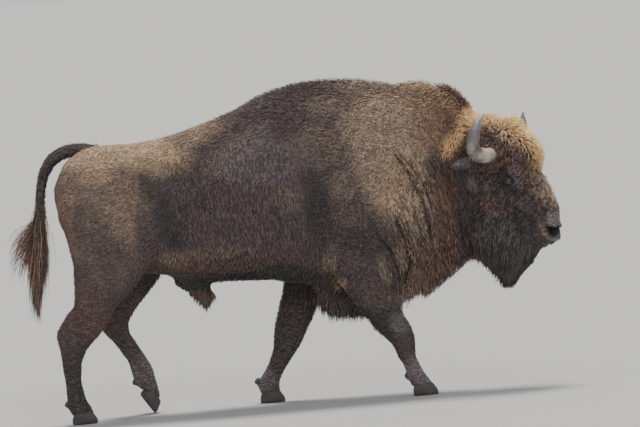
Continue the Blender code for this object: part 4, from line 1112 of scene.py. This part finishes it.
def flowing(rows, steps):
    """Rows of numbers with steps - 1 more between each pair, on a smooth curve through them."""
    rows = np.array(rows, float)
    ends = np.vstack([2 * rows[0] - rows[1], rows, 2 * rows[-1] - rows[-2]])
    found = []
    for before, start, end, after in zip(ends, ends[1:], ends[2:], ends[3:]):
        for t in np.arange(steps) / steps:
            found.append(
                start + 0.5 * t * (end - before) + t**2 * (before - 2.5 * start + 2 * end - 0.5 * after)
                + t**3 * (1.5 * (start - end) + 0.5 * (after - before))
            )
    return np.array(found + [rows[-1]])


def join_rings(bm, rings):
    """Bridges each ring of points to the next as it is made, and closes both ends."""
    before = None
    for ring in rings:
        edges = list(dict.fromkeys(edge for vert in ring for edge in vert.link_edges if edge.other_vert(vert) in ring))
        if before:
            bmesh.ops.bridge_loops(bm, edges=before + edges)
        else:
            bmesh.ops.edgeloop_fill(bm, edges=edges)
        before = edges
    bmesh.ops.edgeloop_fill(bm, edges=before)
    bmesh.ops.recalc_face_normals(bm, faces=bm.faces)


def rod_rings(bm, rows, corners, matrix):
    places = [matrix @ Vector(row[:3]) for row in rows]
    side = Vector((0, 1, 0))
    for k, place in enumerate(places):
        along = (places[min(k + 1, len(places) - 1)] - places[max(k - 1, 0)]).normalized()
        side = (side - along * side.dot(along)).normalized()
        here = Matrix((side, along.cross(side), along)).transposed().to_4x4()
        here.translation = place
        yield bmesh.ops.create_circle(bm, segments=corners, radius=float(rows[k][3]), matrix=here)["verts"]


def rod(bm, rows, corners, matrix=Matrix.Identity(4)):
    """A round rod along rows of x, y, z and radius, with closed ends."""
    join_rings(bm, rod_rings(bm, rows, corners, matrix))


def shaped(name, slot, bm, *replaced):
    """A piece from a bmesh, in place of the model's plain nodes."""
    mesh = bpy.data.meshes.new(name)
    bm.to_mesh(mesh)
    bm.free()
    mesh.shade_smooth()
    made = new_piece(name, mesh, slot)
    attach(made, "root")
    if replaced:
        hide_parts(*replaced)
    return made


bm = bmesh.new()
rod(bm, flowing([(x, y, z, r) for x, y, z, r in TAIL_LINE], 4), 16, Matrix.Translation(BODY_SHIFT))
dock = shaped("tail_dock", "tail", bm, "tail")
lay_out(dock)
mark(dock.data, markings_and_painted_light(coords(dock.data)) | {"soot": np.full(len(dock.data.vertices), 1.0)})
dock.data.materials.append(hide.data.materials[0])
dock_ground = Ground(dock)


def line_lie(points, rows):
    """The direction of a line of rows at the nearest of its points."""
    rows = np.array(rows)[:, :3] + np.array(BODY_SHIFT)
    nearest = ((points[:, None] - rows[None]) ** 2).sum(-1).argmin(1)
    return unit(rows[np.minimum(nearest + 1, len(rows) - 1)] - rows[np.maximum(nearest - 1, 0)])


# Half the breadth of the brush at heights on the tail
BRUSH = ((0.54, 0.008), (0.60, 0.016), (0.70, 0.026), (0.80, 0.038), (0.90, 0.056), (0.98, 0.062), (1.08, 0.046),
         (1.18, 0.030), (1.30, 0.022))
fine_tail = flowing(TAIL_LINE, 6)
tail_dyes = {"tan": 0.0, "wool": 0.0, "soot": 0.45, "sleek": 0.2, "fold": 0.0}


def tail_hair(name, per_area, chosen, length, swing, width, rings, dyes, out=0.3, **more):
    """Hair of the dock, from the ground chosen by height and facing, kept inside the breadth of the brush."""
    height = body_axes(dock_ground.middle)[:, 2]
    roots, up, flat = dock_ground.roots(np.where(chosen(height, dock_ground.facing), per_area, 0))
    count = len(roots)
    height = body_axes(roots)[:, 2]
    long = length(height, count)
    room = np.maximum(np.interp(height - 0.7 * long, *zip(*BRUSH)) - 0.014, 0.003)
    lie = line_lie(roots, fine_tail) + swing * random.normal(size=(count, 3))
    rise = out if callable(out) else lambda n: out * room * random.uniform(0.1, 2.6, n) ** 1.5
    return grow(name, "tail", roots, up, flat, lie, long, rise(count), width * random.uniform(0.6, 1.2, count),
                random.uniform(0.001, 0.004, count), rings=rings, beat=0.12, dyes=tail_dyes | dyes, **more)


def short_hair(height, count):
    return random.uniform(0.020, 0.036, count)


def brush_lock(height, count):
    """Length of a lock of the brush from a root at a height: the longest reach the tip of the tail."""
    low = 0.55 + 0.42 * random.beta(1.2, 1.5, count)
    return np.clip(height - low, 0.06, 0.34 + 0.2 * random.random(count))


# The dock's hair is lighter on top than underneath: painted light and shade
for part, above, dyes in (("dock", True, {"tan": 0.15, "soot": 0.6}), ("under", False, {"soot": 0.9})):
    tail_hair(f"coat_tail_{part}", 30000, lambda z, n: (z > 1.00) & ((n[:, 2] > -0.2) == above), short_hair,
              0.10, 0.0060, 2, dyes)
tail_hair("coat_tail_brush", 30000, lambda z, n: (z < 1.24) & (z > 0.86), brush_lock, 0.016, 0.0065, 6,
          {"rust": 0.35, "soot": 0.65}, fall=0.03, replaced=("tail_tuft",))
# The brush's outer locks: rust hair, with a little gold that is painted rim light
tail_hair("coat_tail_edge", 9000, lambda z, n: (z < 1.24) & (z > 0.86), brush_lock, 0.030, 0.0040, 6,
          {"rust": 1.0, "soot": 0.0, "gold": 0.25}, out=0.5, fall=0.03)
# The wind swings the hair of its hind side out in a lobe of its own.
tail_hair("coat_tail_wisp", 60000, lambda z, n: (z < 1.15) & (z > 0.97) & (n[:, 0] < -0.5),
          lambda z, n: random.uniform(0.10, 0.24, n), 0.05, 0.0045, 6, {"rust": 0.9, "soot": 0.3},
          out=lambda n: 0.165 * random.random(n) ** 0.8, fall=-0.10)


# --- Horns ------------------------------------------------------------------------------------
# Hollow sheaths of horn over bone cores, thick and ringed at the root, smooth and drawn out to the tip.
# They are pushed on over the hide's edge, and a ruff of short hair hides the joint.
# Points of the right horn's middle line in the head's axes, with the radius there
HORN_LINE = (
    (0.136, -0.085, 0.016, 0.0455), (0.134, -0.15, 0.009, 0.044), (0.122, -0.218, -0.01, 0.042),
    (0.096, -0.279, -0.015, 0.0405), (0.063, -0.303, 0.005, 0.0385), (0.027, -0.304, 0.039, 0.034),
    (-0.008, -0.285, 0.072, 0.026), (-0.035, -0.26, 0.101, 0.0155), (-0.055, -0.236, 0.134, 0.0035),
)
HORN_STEPS, HORN_CORNERS = 9, 28


def horn(side):
    rows = flowing(HORN_LINE, HORN_STEPS)
    share = np.linspace(0, 1, len(rows))
    ringed = 1 - step(share, 0.25, 0.60)
    rows[:, 3] *= 1 + 0.022 * ringed * np.sin(share * 95) + 0.010 * np.sin(share * 31)
    rows[:, 1] *= -side
    if side > 0:  # grown a little further forward and higher than its twin
        bent = bump(abs(share - 0.8), 0.35)
        rows[:, 0] += 0.014 * bent - 0.004 * share**2
        rows[:, 2] += 0.022 * bent + 0.041 * share**2
    bm = bmesh.new()
    rod(bm, rows, HORN_CORNERS, HEAD)
    word = "left" if side > 0 else "right"
    made = shaped(f"horn_sheath_{word}", "horn", bm, f"horn_{word}")
    # rod() makes its rings in order, so a point's number tells how far along and around it is.
    number = np.arange(len(made.data.vertices))
    around = number % HORN_CORNERS / HORN_CORNERS * 2 * math.pi
    mark(made.data, {"length": share[number // HORN_CORNERS], "turn_x": np.cos(around), "turn_y": np.sin(around)})
    made.data.materials.append(horn_material)


horn_dyer = Dyer("horn")
along = horn_dyer.read("length")
grown = horn_dyer.node("ShaderNodeCombineXYZ", {}, along * 2.2, horn_dyer.read("turn_x"), horn_dyer.read("turn_y"))
streaks = horn_dyer.node("ShaderNodeTexNoise", {}, Vector=grown, Scale=5.5, Detail=5.0, Roughness=0.75)
clouds = horn_dyer.noise(16.0, 4.0, 0.65)
HORN_SHADES = ((0, srgb(150, 134, 118)), (0.28, srgb(204, 190, 172)), (0.50, srgb(150, 142, 134)),
               (0.78, srgb(118, 118, 122)), (1, srgb(206, 202, 196)))
colour = horn_dyer.node("ShaderNodeValToRGB", {"stops": HORN_SHADES}, along + 0.5 * (streaks - 0.5))
colour = horn_dyer.mix(1.0, colour, horn_dyer.grey((2.6 * clouds - 0.6).held() * (0.20 + 1.15 * streaks)), "MULTIPLY")
rings = horn_dyer.node("ShaderNodeMath", {"operation": "SINE"}, along * 300)
height = streaks + 0.25 * rings * (1 - along)
horn_material = horn_dyer.finish(colour, 0.34 + 0.3 * clouds, height, 0.0015, 0.6)
for side in (1, -1):
    horn(side)


own, at = head_axes(ground.middle), body_axes(ground.middle)
near_root = np.hypot(own[:, 0] - 0.134, own[:, 2] - 0.010)
roots, up, flat = ground.roots(np.where((near_root < 0.085) & (abs(own[:, 1]) > 0.07) & (at[:, 0] > 1.0), 26000, 0))
count = len(roots)
own = head_axes(roots)
lie = (np.sign(own[:, 1:2]) * (0, 1, 0) + (0.5, 0, -0.35)) @ HEAD_AXES.T
lie = unit(lie + 0.35 * random.normal(size=(count, 3)))
grow("coat_horn_root", "forelock", roots, up, flat, lie, random.uniform(0.020, 0.042, count),
     random.uniform(0.020, 0.045, count), random.uniform(0.004, 0.007, count), random.uniform(0.001, 0.004, count),
     rings=4, beat=0.03)


# --- Eyes -------------------------------------------------------------------------------------
# Glass eyes, dark brown with a level oval pupil and a wet, glossy surface. They are set into the sockets
# from behind the lids, and the lids' bare black margin closes round them.
eye_dyer = Dyer("eye")
iris = eye_dyer.read("iris")
colour = eye_dyer.mix(iris, srgb(10, 8, 8), srgb(36, 26, 21))
colour = eye_dyer.mix(eye_dyer.read("white"), colour, srgb(60, 52, 48))
eye_material = eye_dyer.finish(colour, Roughness=0.06, Specular_IOR_Level=0.75)
# The lids' margin is speckled lighter than bare skin: painted highlight, standing for the glint along the lids
rim_dyer = Dyer("eye_rim")
rim_noise = rim_dyer.noise(220.0, 2.0, 0.6)
rim_material = rim_dyer.finish(rim_dyer.mix(rim_noise, srgb(40, 37, 38), srgb(84, 78, 80)), 0.5, rim_noise, 0.0008)
for side in (1, -1):
    word = "left" if side > 0 else "right"
    seat = HEAD @ Vector((EYE_SEAT.x, -side * EYE_SEAT.y, EYE_SEAT.z))
    out = (HEAD.to_3x3() @ Vector((EYE_OUT.x, -side * EYE_OUT.y, EYE_OUT.z))).normalized()
    long = (HEAD.to_3x3() @ Vector((EYE_LONG.x, -side * EYE_LONG.y, EYE_LONG.z))).normalized()
    turn = Matrix((long, out.cross(long) * -side, out)).transposed().to_4x4()
    turn.translation = seat
    bm = bmesh.new()
    bmesh.ops.create_uvsphere(bm, u_segments=40, v_segments=28, radius=EYE_RADIUS)
    flat_places = np.array([vert.co[:] for vert in bm.verts])
    bmesh.ops.transform(bm, matrix=turn, verts=bm.verts)
    bmesh.ops.recalc_face_normals(bm, faces=bm.faces)
    ball = shaped(f"eyeball_{word}", "eye", bm, f"eye_{word}")
    pupil = np.hypot(flat_places[:, 0] / 0.0075, flat_places[:, 1] / 0.0042)
    reach = np.hypot(flat_places[:, 0], flat_places[:, 1])
    front = flat_places[:, 2] > 0
    mark(ball.data, {"iris": step(pupil, 0.9, 1.1) * front, "white": step(reach, 0.0125, 0.0140)})
    ball.data.materials.append(eye_material)
    # The lids' bare margin, drawn round the opening from the tear corner and back to it.
    bm = bmesh.new()
    rows = []
    for k in range(45):
        around = 2 * math.pi * k / 44
        x, y = LID_LENGTH * 0.98 * math.cos(around), math.sin(around)
        thick = 0.0018 + (0.0022 if y > 0 else 0.0015) * abs(y) ** 0.7
        y = (LID_RISE if y > 0 else LID_DROP) * math.copysign(abs(y) ** 1.15, y) * 0.98
        rows.append((x, y, math.sqrt(max((EYE_RADIUS + RIM_OVER) ** 2 - x * x - y * y, 0)), thick))
    rod(bm, rows, 10, turn)
    rim = shaped(f"eye_rim_{word}", "eye", bm)
    rim.data.materials.append(rim_material)


# --- Hooves -----------------------------------------------------------------------------------
# Two claws to a foot, of dark horn that grows in faint rings, and two dewclaws above them at the back.
# The foot's hide ends inside the claws, and its last hair falls over their upper edge.
# A claw's outline from the sole up: z, rear x, front x, half width
CLAW = ((0, -0.056, 0.064, 0.0225), (0.003, -0.062, 0.072, 0.0255), (0.012, -0.066, 0.073, 0.0285),
        (0.026, -0.066, 0.069, 0.03), (0.042, -0.062, 0.059, 0.03), (0.056, -0.054, 0.05, 0.028),
        (0.066, -0.044, 0.04, 0.022))
CLAW_APART, DEWCLAW_APART = 0.0325, 0.024  # from the foot's middle
DEWCLAW = Matrix.Diagonal((0.0150, 0.0125, 0.0230, 1))
hoof_dyer = Dyer("hoof")
grain = hoof_dyer.noise(60.0, 3.0, 0.6, (1.0, 1.0, 4.0))
dust = hoof_dyer.noise(9.0, 4.0, 0.7)
colour = hoof_dyer.mix(grain, srgb(40, 37, 36), srgb(74, 68, 64))
colour = hoof_dyer.mix((dust * 1.6 - 0.7).held(), colour, srgb(104, 96, 88))
hoof_material = hoof_dyer.finish(colour, 0.45 + 0.4 * dust, grain, 0.002, 0.7)


def claw_rings(bm, place, digit):
    """Level rings from the sole up, narrower at the toe and flatter towards the cleft."""
    for z, rear, front, half in flowing(CLAW, 2):
        ring = bmesh.ops.create_circle(bm, segments=28, radius=1)["verts"]
        for vert in ring:
            u, a = (math.copysign(abs(turn) ** 0.87, turn) for turn in vert.co[:2])
            wide = half * (1 - 0.24 * max(u, 0)) * (0.85 if a * digit < 0 else 1)
            toe_in = -digit * 0.004 * max(u, 0) ** 2
            x, y = (rear + front) / 2 + u * (front - rear) / 2, digit * CLAW_APART + a * wide + toe_in
            vert.co = place @ Vector((x, y, max(z, 0)))
        yield ring


for (leg, side), (centre, pitch, (claw_x, claw_z)) in FEET_AT.items():
    word = "left" if side > 0 else "right"
    claws, dewclaws = bmesh.new(), bmesh.new()
    for digit in (1, -1):
        join_rings(claws, claw_rings(claws, foot_place(centre, pitch), digit))
        place = foot_place((claw_x, centre[1] + digit * DEWCLAW_APART, claw_z), pitch / 2 + 30)
        found = bmesh.ops.create_uvsphere(dewclaws, u_segments=20, v_segments=14, radius=1)["verts"]
        for vert in found:
            if vert.co.z < 0:  # worn off below
                vert.co.z *= 0.62
                vert.co.x *= 1 + 0.15 * -vert.co.z
        bmesh.ops.transform(dewclaws, matrix=place @ DEWCLAW, verts=found)
    for vert in claws.verts:
        vert.co.z = max(vert.co.z, 0.0)
    for name, slot, bm in (("claws", "hoof", claws), ("dewclaws", "dewclaw", dewclaws)):
        made = shaped(f"{name}_{leg}_{word}", slot, bm, *(f"{slot}_{leg}_{word}_{part}" for part in ("inner", "outer")))
        made.data.materials.append(hoof_material)


# --- Ears -------------------------------------------------------------------------------------
# A leaf of gristle and hide, cupped towards its opening, furred outside and fringed along its rim.
# It is sewn into the hide behind the horn. Root, tip and facing are the right ear's, in the head's axes.
EAR_ROOT, EAR_TIP = Vector((0.188, -0.116, -0.108)), Vector((0.086, -0.264, -0.140))
EAR_FACING = Vector((0.37, -0.71, 0.59))
# Half the leaf's breadth at shares of its length
EAR_WIDTHS = ((0.0, 0.022), (0.2, 0.040), (0.45, 0.058), (0.70, 0.056), (0.90, 0.032), (1.0, 0.010))
EAR_CUPPING = 7.5


def ear_dyes(roots):
    """Dark all over but for the upper rim and the lobe next to the cheek."""
    at = body_axes(roots)
    pale = np.maximum(step(at[:, 0], 1.02, 1.05), step(at[:, 2], 1.235, 1.255))
    return {"soot": 1 - pale, "mauve": 0.5 * pale, "gold": 0.0, "wool": 0.0, "rust": 0.0, "curly": 0.0}


for side in (1, -1):
    word = "left" if side > 0 else "right"
    flip = Vector((1, -side, 1))
    root, tip, facing = (Vector(a * b for a, b in zip(v, flip)) for v in (EAR_ROOT, EAR_TIP, EAR_FACING))
    along = tip - root
    facing = (facing - along * facing.dot(along) / along.length_squared).normalized()
    broad = facing.cross(along).normalized()
    bm = bmesh.new()
    bmesh.ops.create_grid(bm, x_segments=20, y_segments=12, size=1)
    for vert in bm.verts:
        share, sway = (vert.co.x + 1) / 2, vert.co.y
        half = float(np.interp(share, *zip(*EAR_WIDTHS)))
        wide = sway * half
        hollow = EAR_CUPPING * wide * wide - 0.012 * math.sin(math.pi * share)
        vert.co = HEAD @ (root + along * share + broad * wide + facing * hollow)
    made = shaped(f"ear_flap_{word}", "ear", bm, f"ear_{word}")
    wall = made.modifiers.new("wall", "SOLIDIFY")
    wall.thickness = 0.006
    wall.offset = 0
    round_off = made.modifiers.new("round", "SUBSURF")
    round_off.levels = round_off.render_levels = 1
    settle(made)
    made.data.shade_smooth()
    lay_out(made)
    mark(made.data, markings_and_painted_light(coords(made.data)) | {"soot": np.full(len(made.data.vertices), 1.0)})
    made.data.materials.clear()
    made.data.materials.append(hide.data.materials[0])
    ear_ground = Ground(made)
    own = head_axes(ear_ground.middle) - np.array(root)
    share = own @ np.array(along) / along.length_squared
    sway = own @ np.array(broad)
    rim = abs(sway) / np.interp(share, *zip(*EAR_WIDTHS))
    outside = ear_ground.facing @ (HEAD_AXES @ np.array(facing)) < 0
    roots, up, flat = ear_ground.roots(np.where(share > 0.02, np.where(outside, 52000, 26000), 0))
    count = len(roots)
    lie = np.tile(HEAD_AXES @ np.array(along.normalized()), (count, 1)) + 0.2 * random.normal(size=(count, 3))
    grow(f"coat_ear_{word}", "ear", roots, up, flat, lie, random.uniform(0.012, 0.024, count),
         random.uniform(0.002, 0.006, count), random.uniform(0.003, 0.005, count), np.full(count, 0.0005), rings=2,
         dyes=ear_dyes(roots))
    roots, up, flat = ear_ground.roots(np.where((rim > 0.72) & (share > 0.10), 90000, 0))
    count = len(roots)
    lie = 0.7 * HEAD_AXES @ np.array(along.normalized()) + np.array((0.05, 0, -0.7))
    lie = lie + 0.30 * random.normal(size=(count, 3))
    grow(f"coat_ear_fringe_{word}", "ear", roots, up, flat, lie, random.uniform(0.02, 0.075, count),
         random.uniform(0.002, 0.012, count), random.uniform(0.0025, 0.004, count),
         random.uniform(0.0005, 0.003, count), rings=4, beat=0.045, fall=0.45,
         dyes=ear_dyes(roots))


# --- Long hair --------------------------------------------------------------------------------
# Beard, chest mane and sheath tuft are long straight guard hair, which hangs under its own weight in loose
# locks. They are combed down over the shorter coat and trimmed to one flowing lower outline.
# That outline, seen from the side: x and z
HANG_LINE = (
    (-0.62, 0.66), (-0.54, 0.585), (-0.485, 0.515), (-0.455, 0.56), (-0.4, 0.625), (-0.3, 0.66), (0.06, 0.5),
    (0.16, 0.42), (0.28, 0.37), (0.42, 0.37), (0.6, 0.42), (0.75, 0.52), (0.93, 0.69), (1, 0.722), (1.064, 0.685),
    (1.1, 0.65), (1.15, 0.6), (1.205, 0.545), (1.27, 0.62), (1.33, 0.68), (1.38, 0.735), (1.45, 0.76),
)


def hanging(name, slot, chosen, per_area, length, width, lean=0.0, fall=0.35, wisps=0.0, dyes=None):
    """Long locks that hang from the chosen ground down to the lower outline, with a lean forward."""
    roots, up, flat = ground.roots(np.where(chosen, per_area, 0))
    count = len(roots)
    lie, _ = coat_at(roots)
    lie = unit(unit(lie + (0, 0, -0.6)) + (lean, 0, 0) + 0.07 * random.normal(size=(count, 3)))
    long = length * random.uniform(0.6, 1.1, count)
    at, ragged = body_axes(roots), 0.022 * (1 + wander(roots, 0.03, 40))
    ragged += wisps * (1 - 2 * random.random(count) ** 3)
    for _ in range(3):
        end = at + lie * long[:, None]
        end[:, 2] -= fall * long
        floor_here = np.interp(end[:, 0], *zip(*HANG_LINE)) + ragged + random.uniform(-0.018, 0.02, count)
        over = np.maximum(floor_here - end[:, 2], 0) / np.maximum(at[:, 2] - end[:, 2], 0.01)
        long = np.maximum(long * (1 - np.minimum(over, 0.9)), 0.02)
    clump = wander(roots, 0.05, 21)
    return grow(name, slot, roots, up, flat, lie, long, random.uniform(0.004, 0.022, count),
                width * random.uniform(0.6, 1.2, count), random.uniform(0.001, 0.005, count), rings=5,
                beat=0.09, fall=fall, tone=np.clip(0.5 + 0.25 * clump + random.normal(0, 0.22, count), 0, 1), dyes=dyes)


at, own = body_axes(ground.middle), head_axes(ground.middle)
chin = (at[:, 0] > 1.03) & (own[:, 2] < -0.09) & (own[:, 0] < 0.66) & (at[:, 2] < 0.95) & (cover > 0)
hanging("coat_beard", "beard", chin, 15000, 0.20, 0.009, lean=0.25, dyes={"soot": 0.85, "ash": 0.0})
keel = (at[:, 0] > 0.08) & (at[:, 0] < 0.78) & (at[:, 2] < 0.60) & (abs(at[:, 1]) < 0.15) & (head_share < 0.5)
hanging("coat_mane", "chest_mane", keel, 9500, 0.18, 0.0075, wisps=0.030)
tuft = (at[:, 0] > -0.56) & (at[:, 0] < -0.36) & (at[:, 2] < 0.68) & (abs(at[:, 1]) < 0.08)
hanging("coat_sheath", "sheath", tuft, 22000, 0.11, 0.0055, lean=-0.05, dyes={"rust": 0.7, "wool": 0.15, "soot": 0.35})


# --- Floor, lights and camera -----------------------------------------------------------------
# A plain pale floor under a wide soft light from above, a little behind the animal, with weaker fills.
# The camera stands far off with a long lens, square to the animal's side and rolled with the slope.
bm = bmesh.new()
bmesh.ops.create_grid(bm, x_segments=1, y_segments=1, size=20000)
floor_mesh = bpy.data.meshes.new("floor")
bm.to_mesh(floor_mesh)
bm.free()
floor = bpy.data.objects.new("floor", floor_mesh)
bpy.context.scene.collection.objects.link(floor)
floor_mesh.materials.append(Dyer("pale_floor").finish((0.34, 0.34, 0.34, 1), 0.9))

world = bpy.data.worlds.new("studio")
world.use_nodes = True
world.node_tree.nodes["Background"].inputs["Color"].default_value = (0.93, 0.94, 0.95, 1)
world.node_tree.nodes["Background"].inputs["Strength"].default_value = 0.80
bpy.context.scene.world = world

# Where each lamp shines from, its strength, how soft it is in degrees, its colour
LIGHTS = {
    "top_light": ((0.05, 0.6, 1.9), 4.6, 18, (1, 0.97, 0.92)),
    "eye_light": ((0.3, -2.4, 1.3), 0.42, 20, (1, 1, 1)),
    "front_fill": ((1, -2.4, 1.3), 0.42, 20, (0.95, 0.97, 1)),
}
for name, (place, power, softness, colour) in LIGHTS.items():
    light = bpy.data.lights.new(name, "SUN")
    light.energy = power
    light.angle = math.radians(softness)
    light.color = colour
    lamp = bpy.data.objects.new(name, light)
    lamp.rotation_euler = (-Vector(place)).to_track_quat("-Z", "Y").to_euler()
    bpy.context.scene.collection.objects.link(lamp)

ROLL = math.atan(0.088)
RISE = math.radians(2.5)
DISTANCE = 30.0
VIEW_WIDTH, METRE = 640, 179.4  # the view's width, and that of a metre in it
AIM = Vector((0.2027, 0.0, 1.0319)) + BODY_SHIFT
right = Vector((math.cos(ROLL), 0, -math.sin(ROLL)))
upright = Vector((math.sin(ROLL), 0, math.cos(ROLL)))
back = Vector((0, -math.cos(RISE), 0)) + upright * math.sin(RISE)
up = upright * math.cos(RISE) + Vector((0, 1, 0)) * math.sin(RISE)
lens = bpy.data.cameras.new("camera")
lens.sensor_width = 36
lens.clip_end = 60000
lens.lens = METRE * DISTANCE * lens.sensor_width / VIEW_WIDTH
camera = bpy.data.objects.new("camera", lens)
camera.matrix_world = Matrix.Translation(AIM + back * DISTANCE) @ Matrix((right, up, back)).transposed().to_4x4()
bpy.context.scene.collection.objects.link(camera)
bpy.context.scene.camera = camera
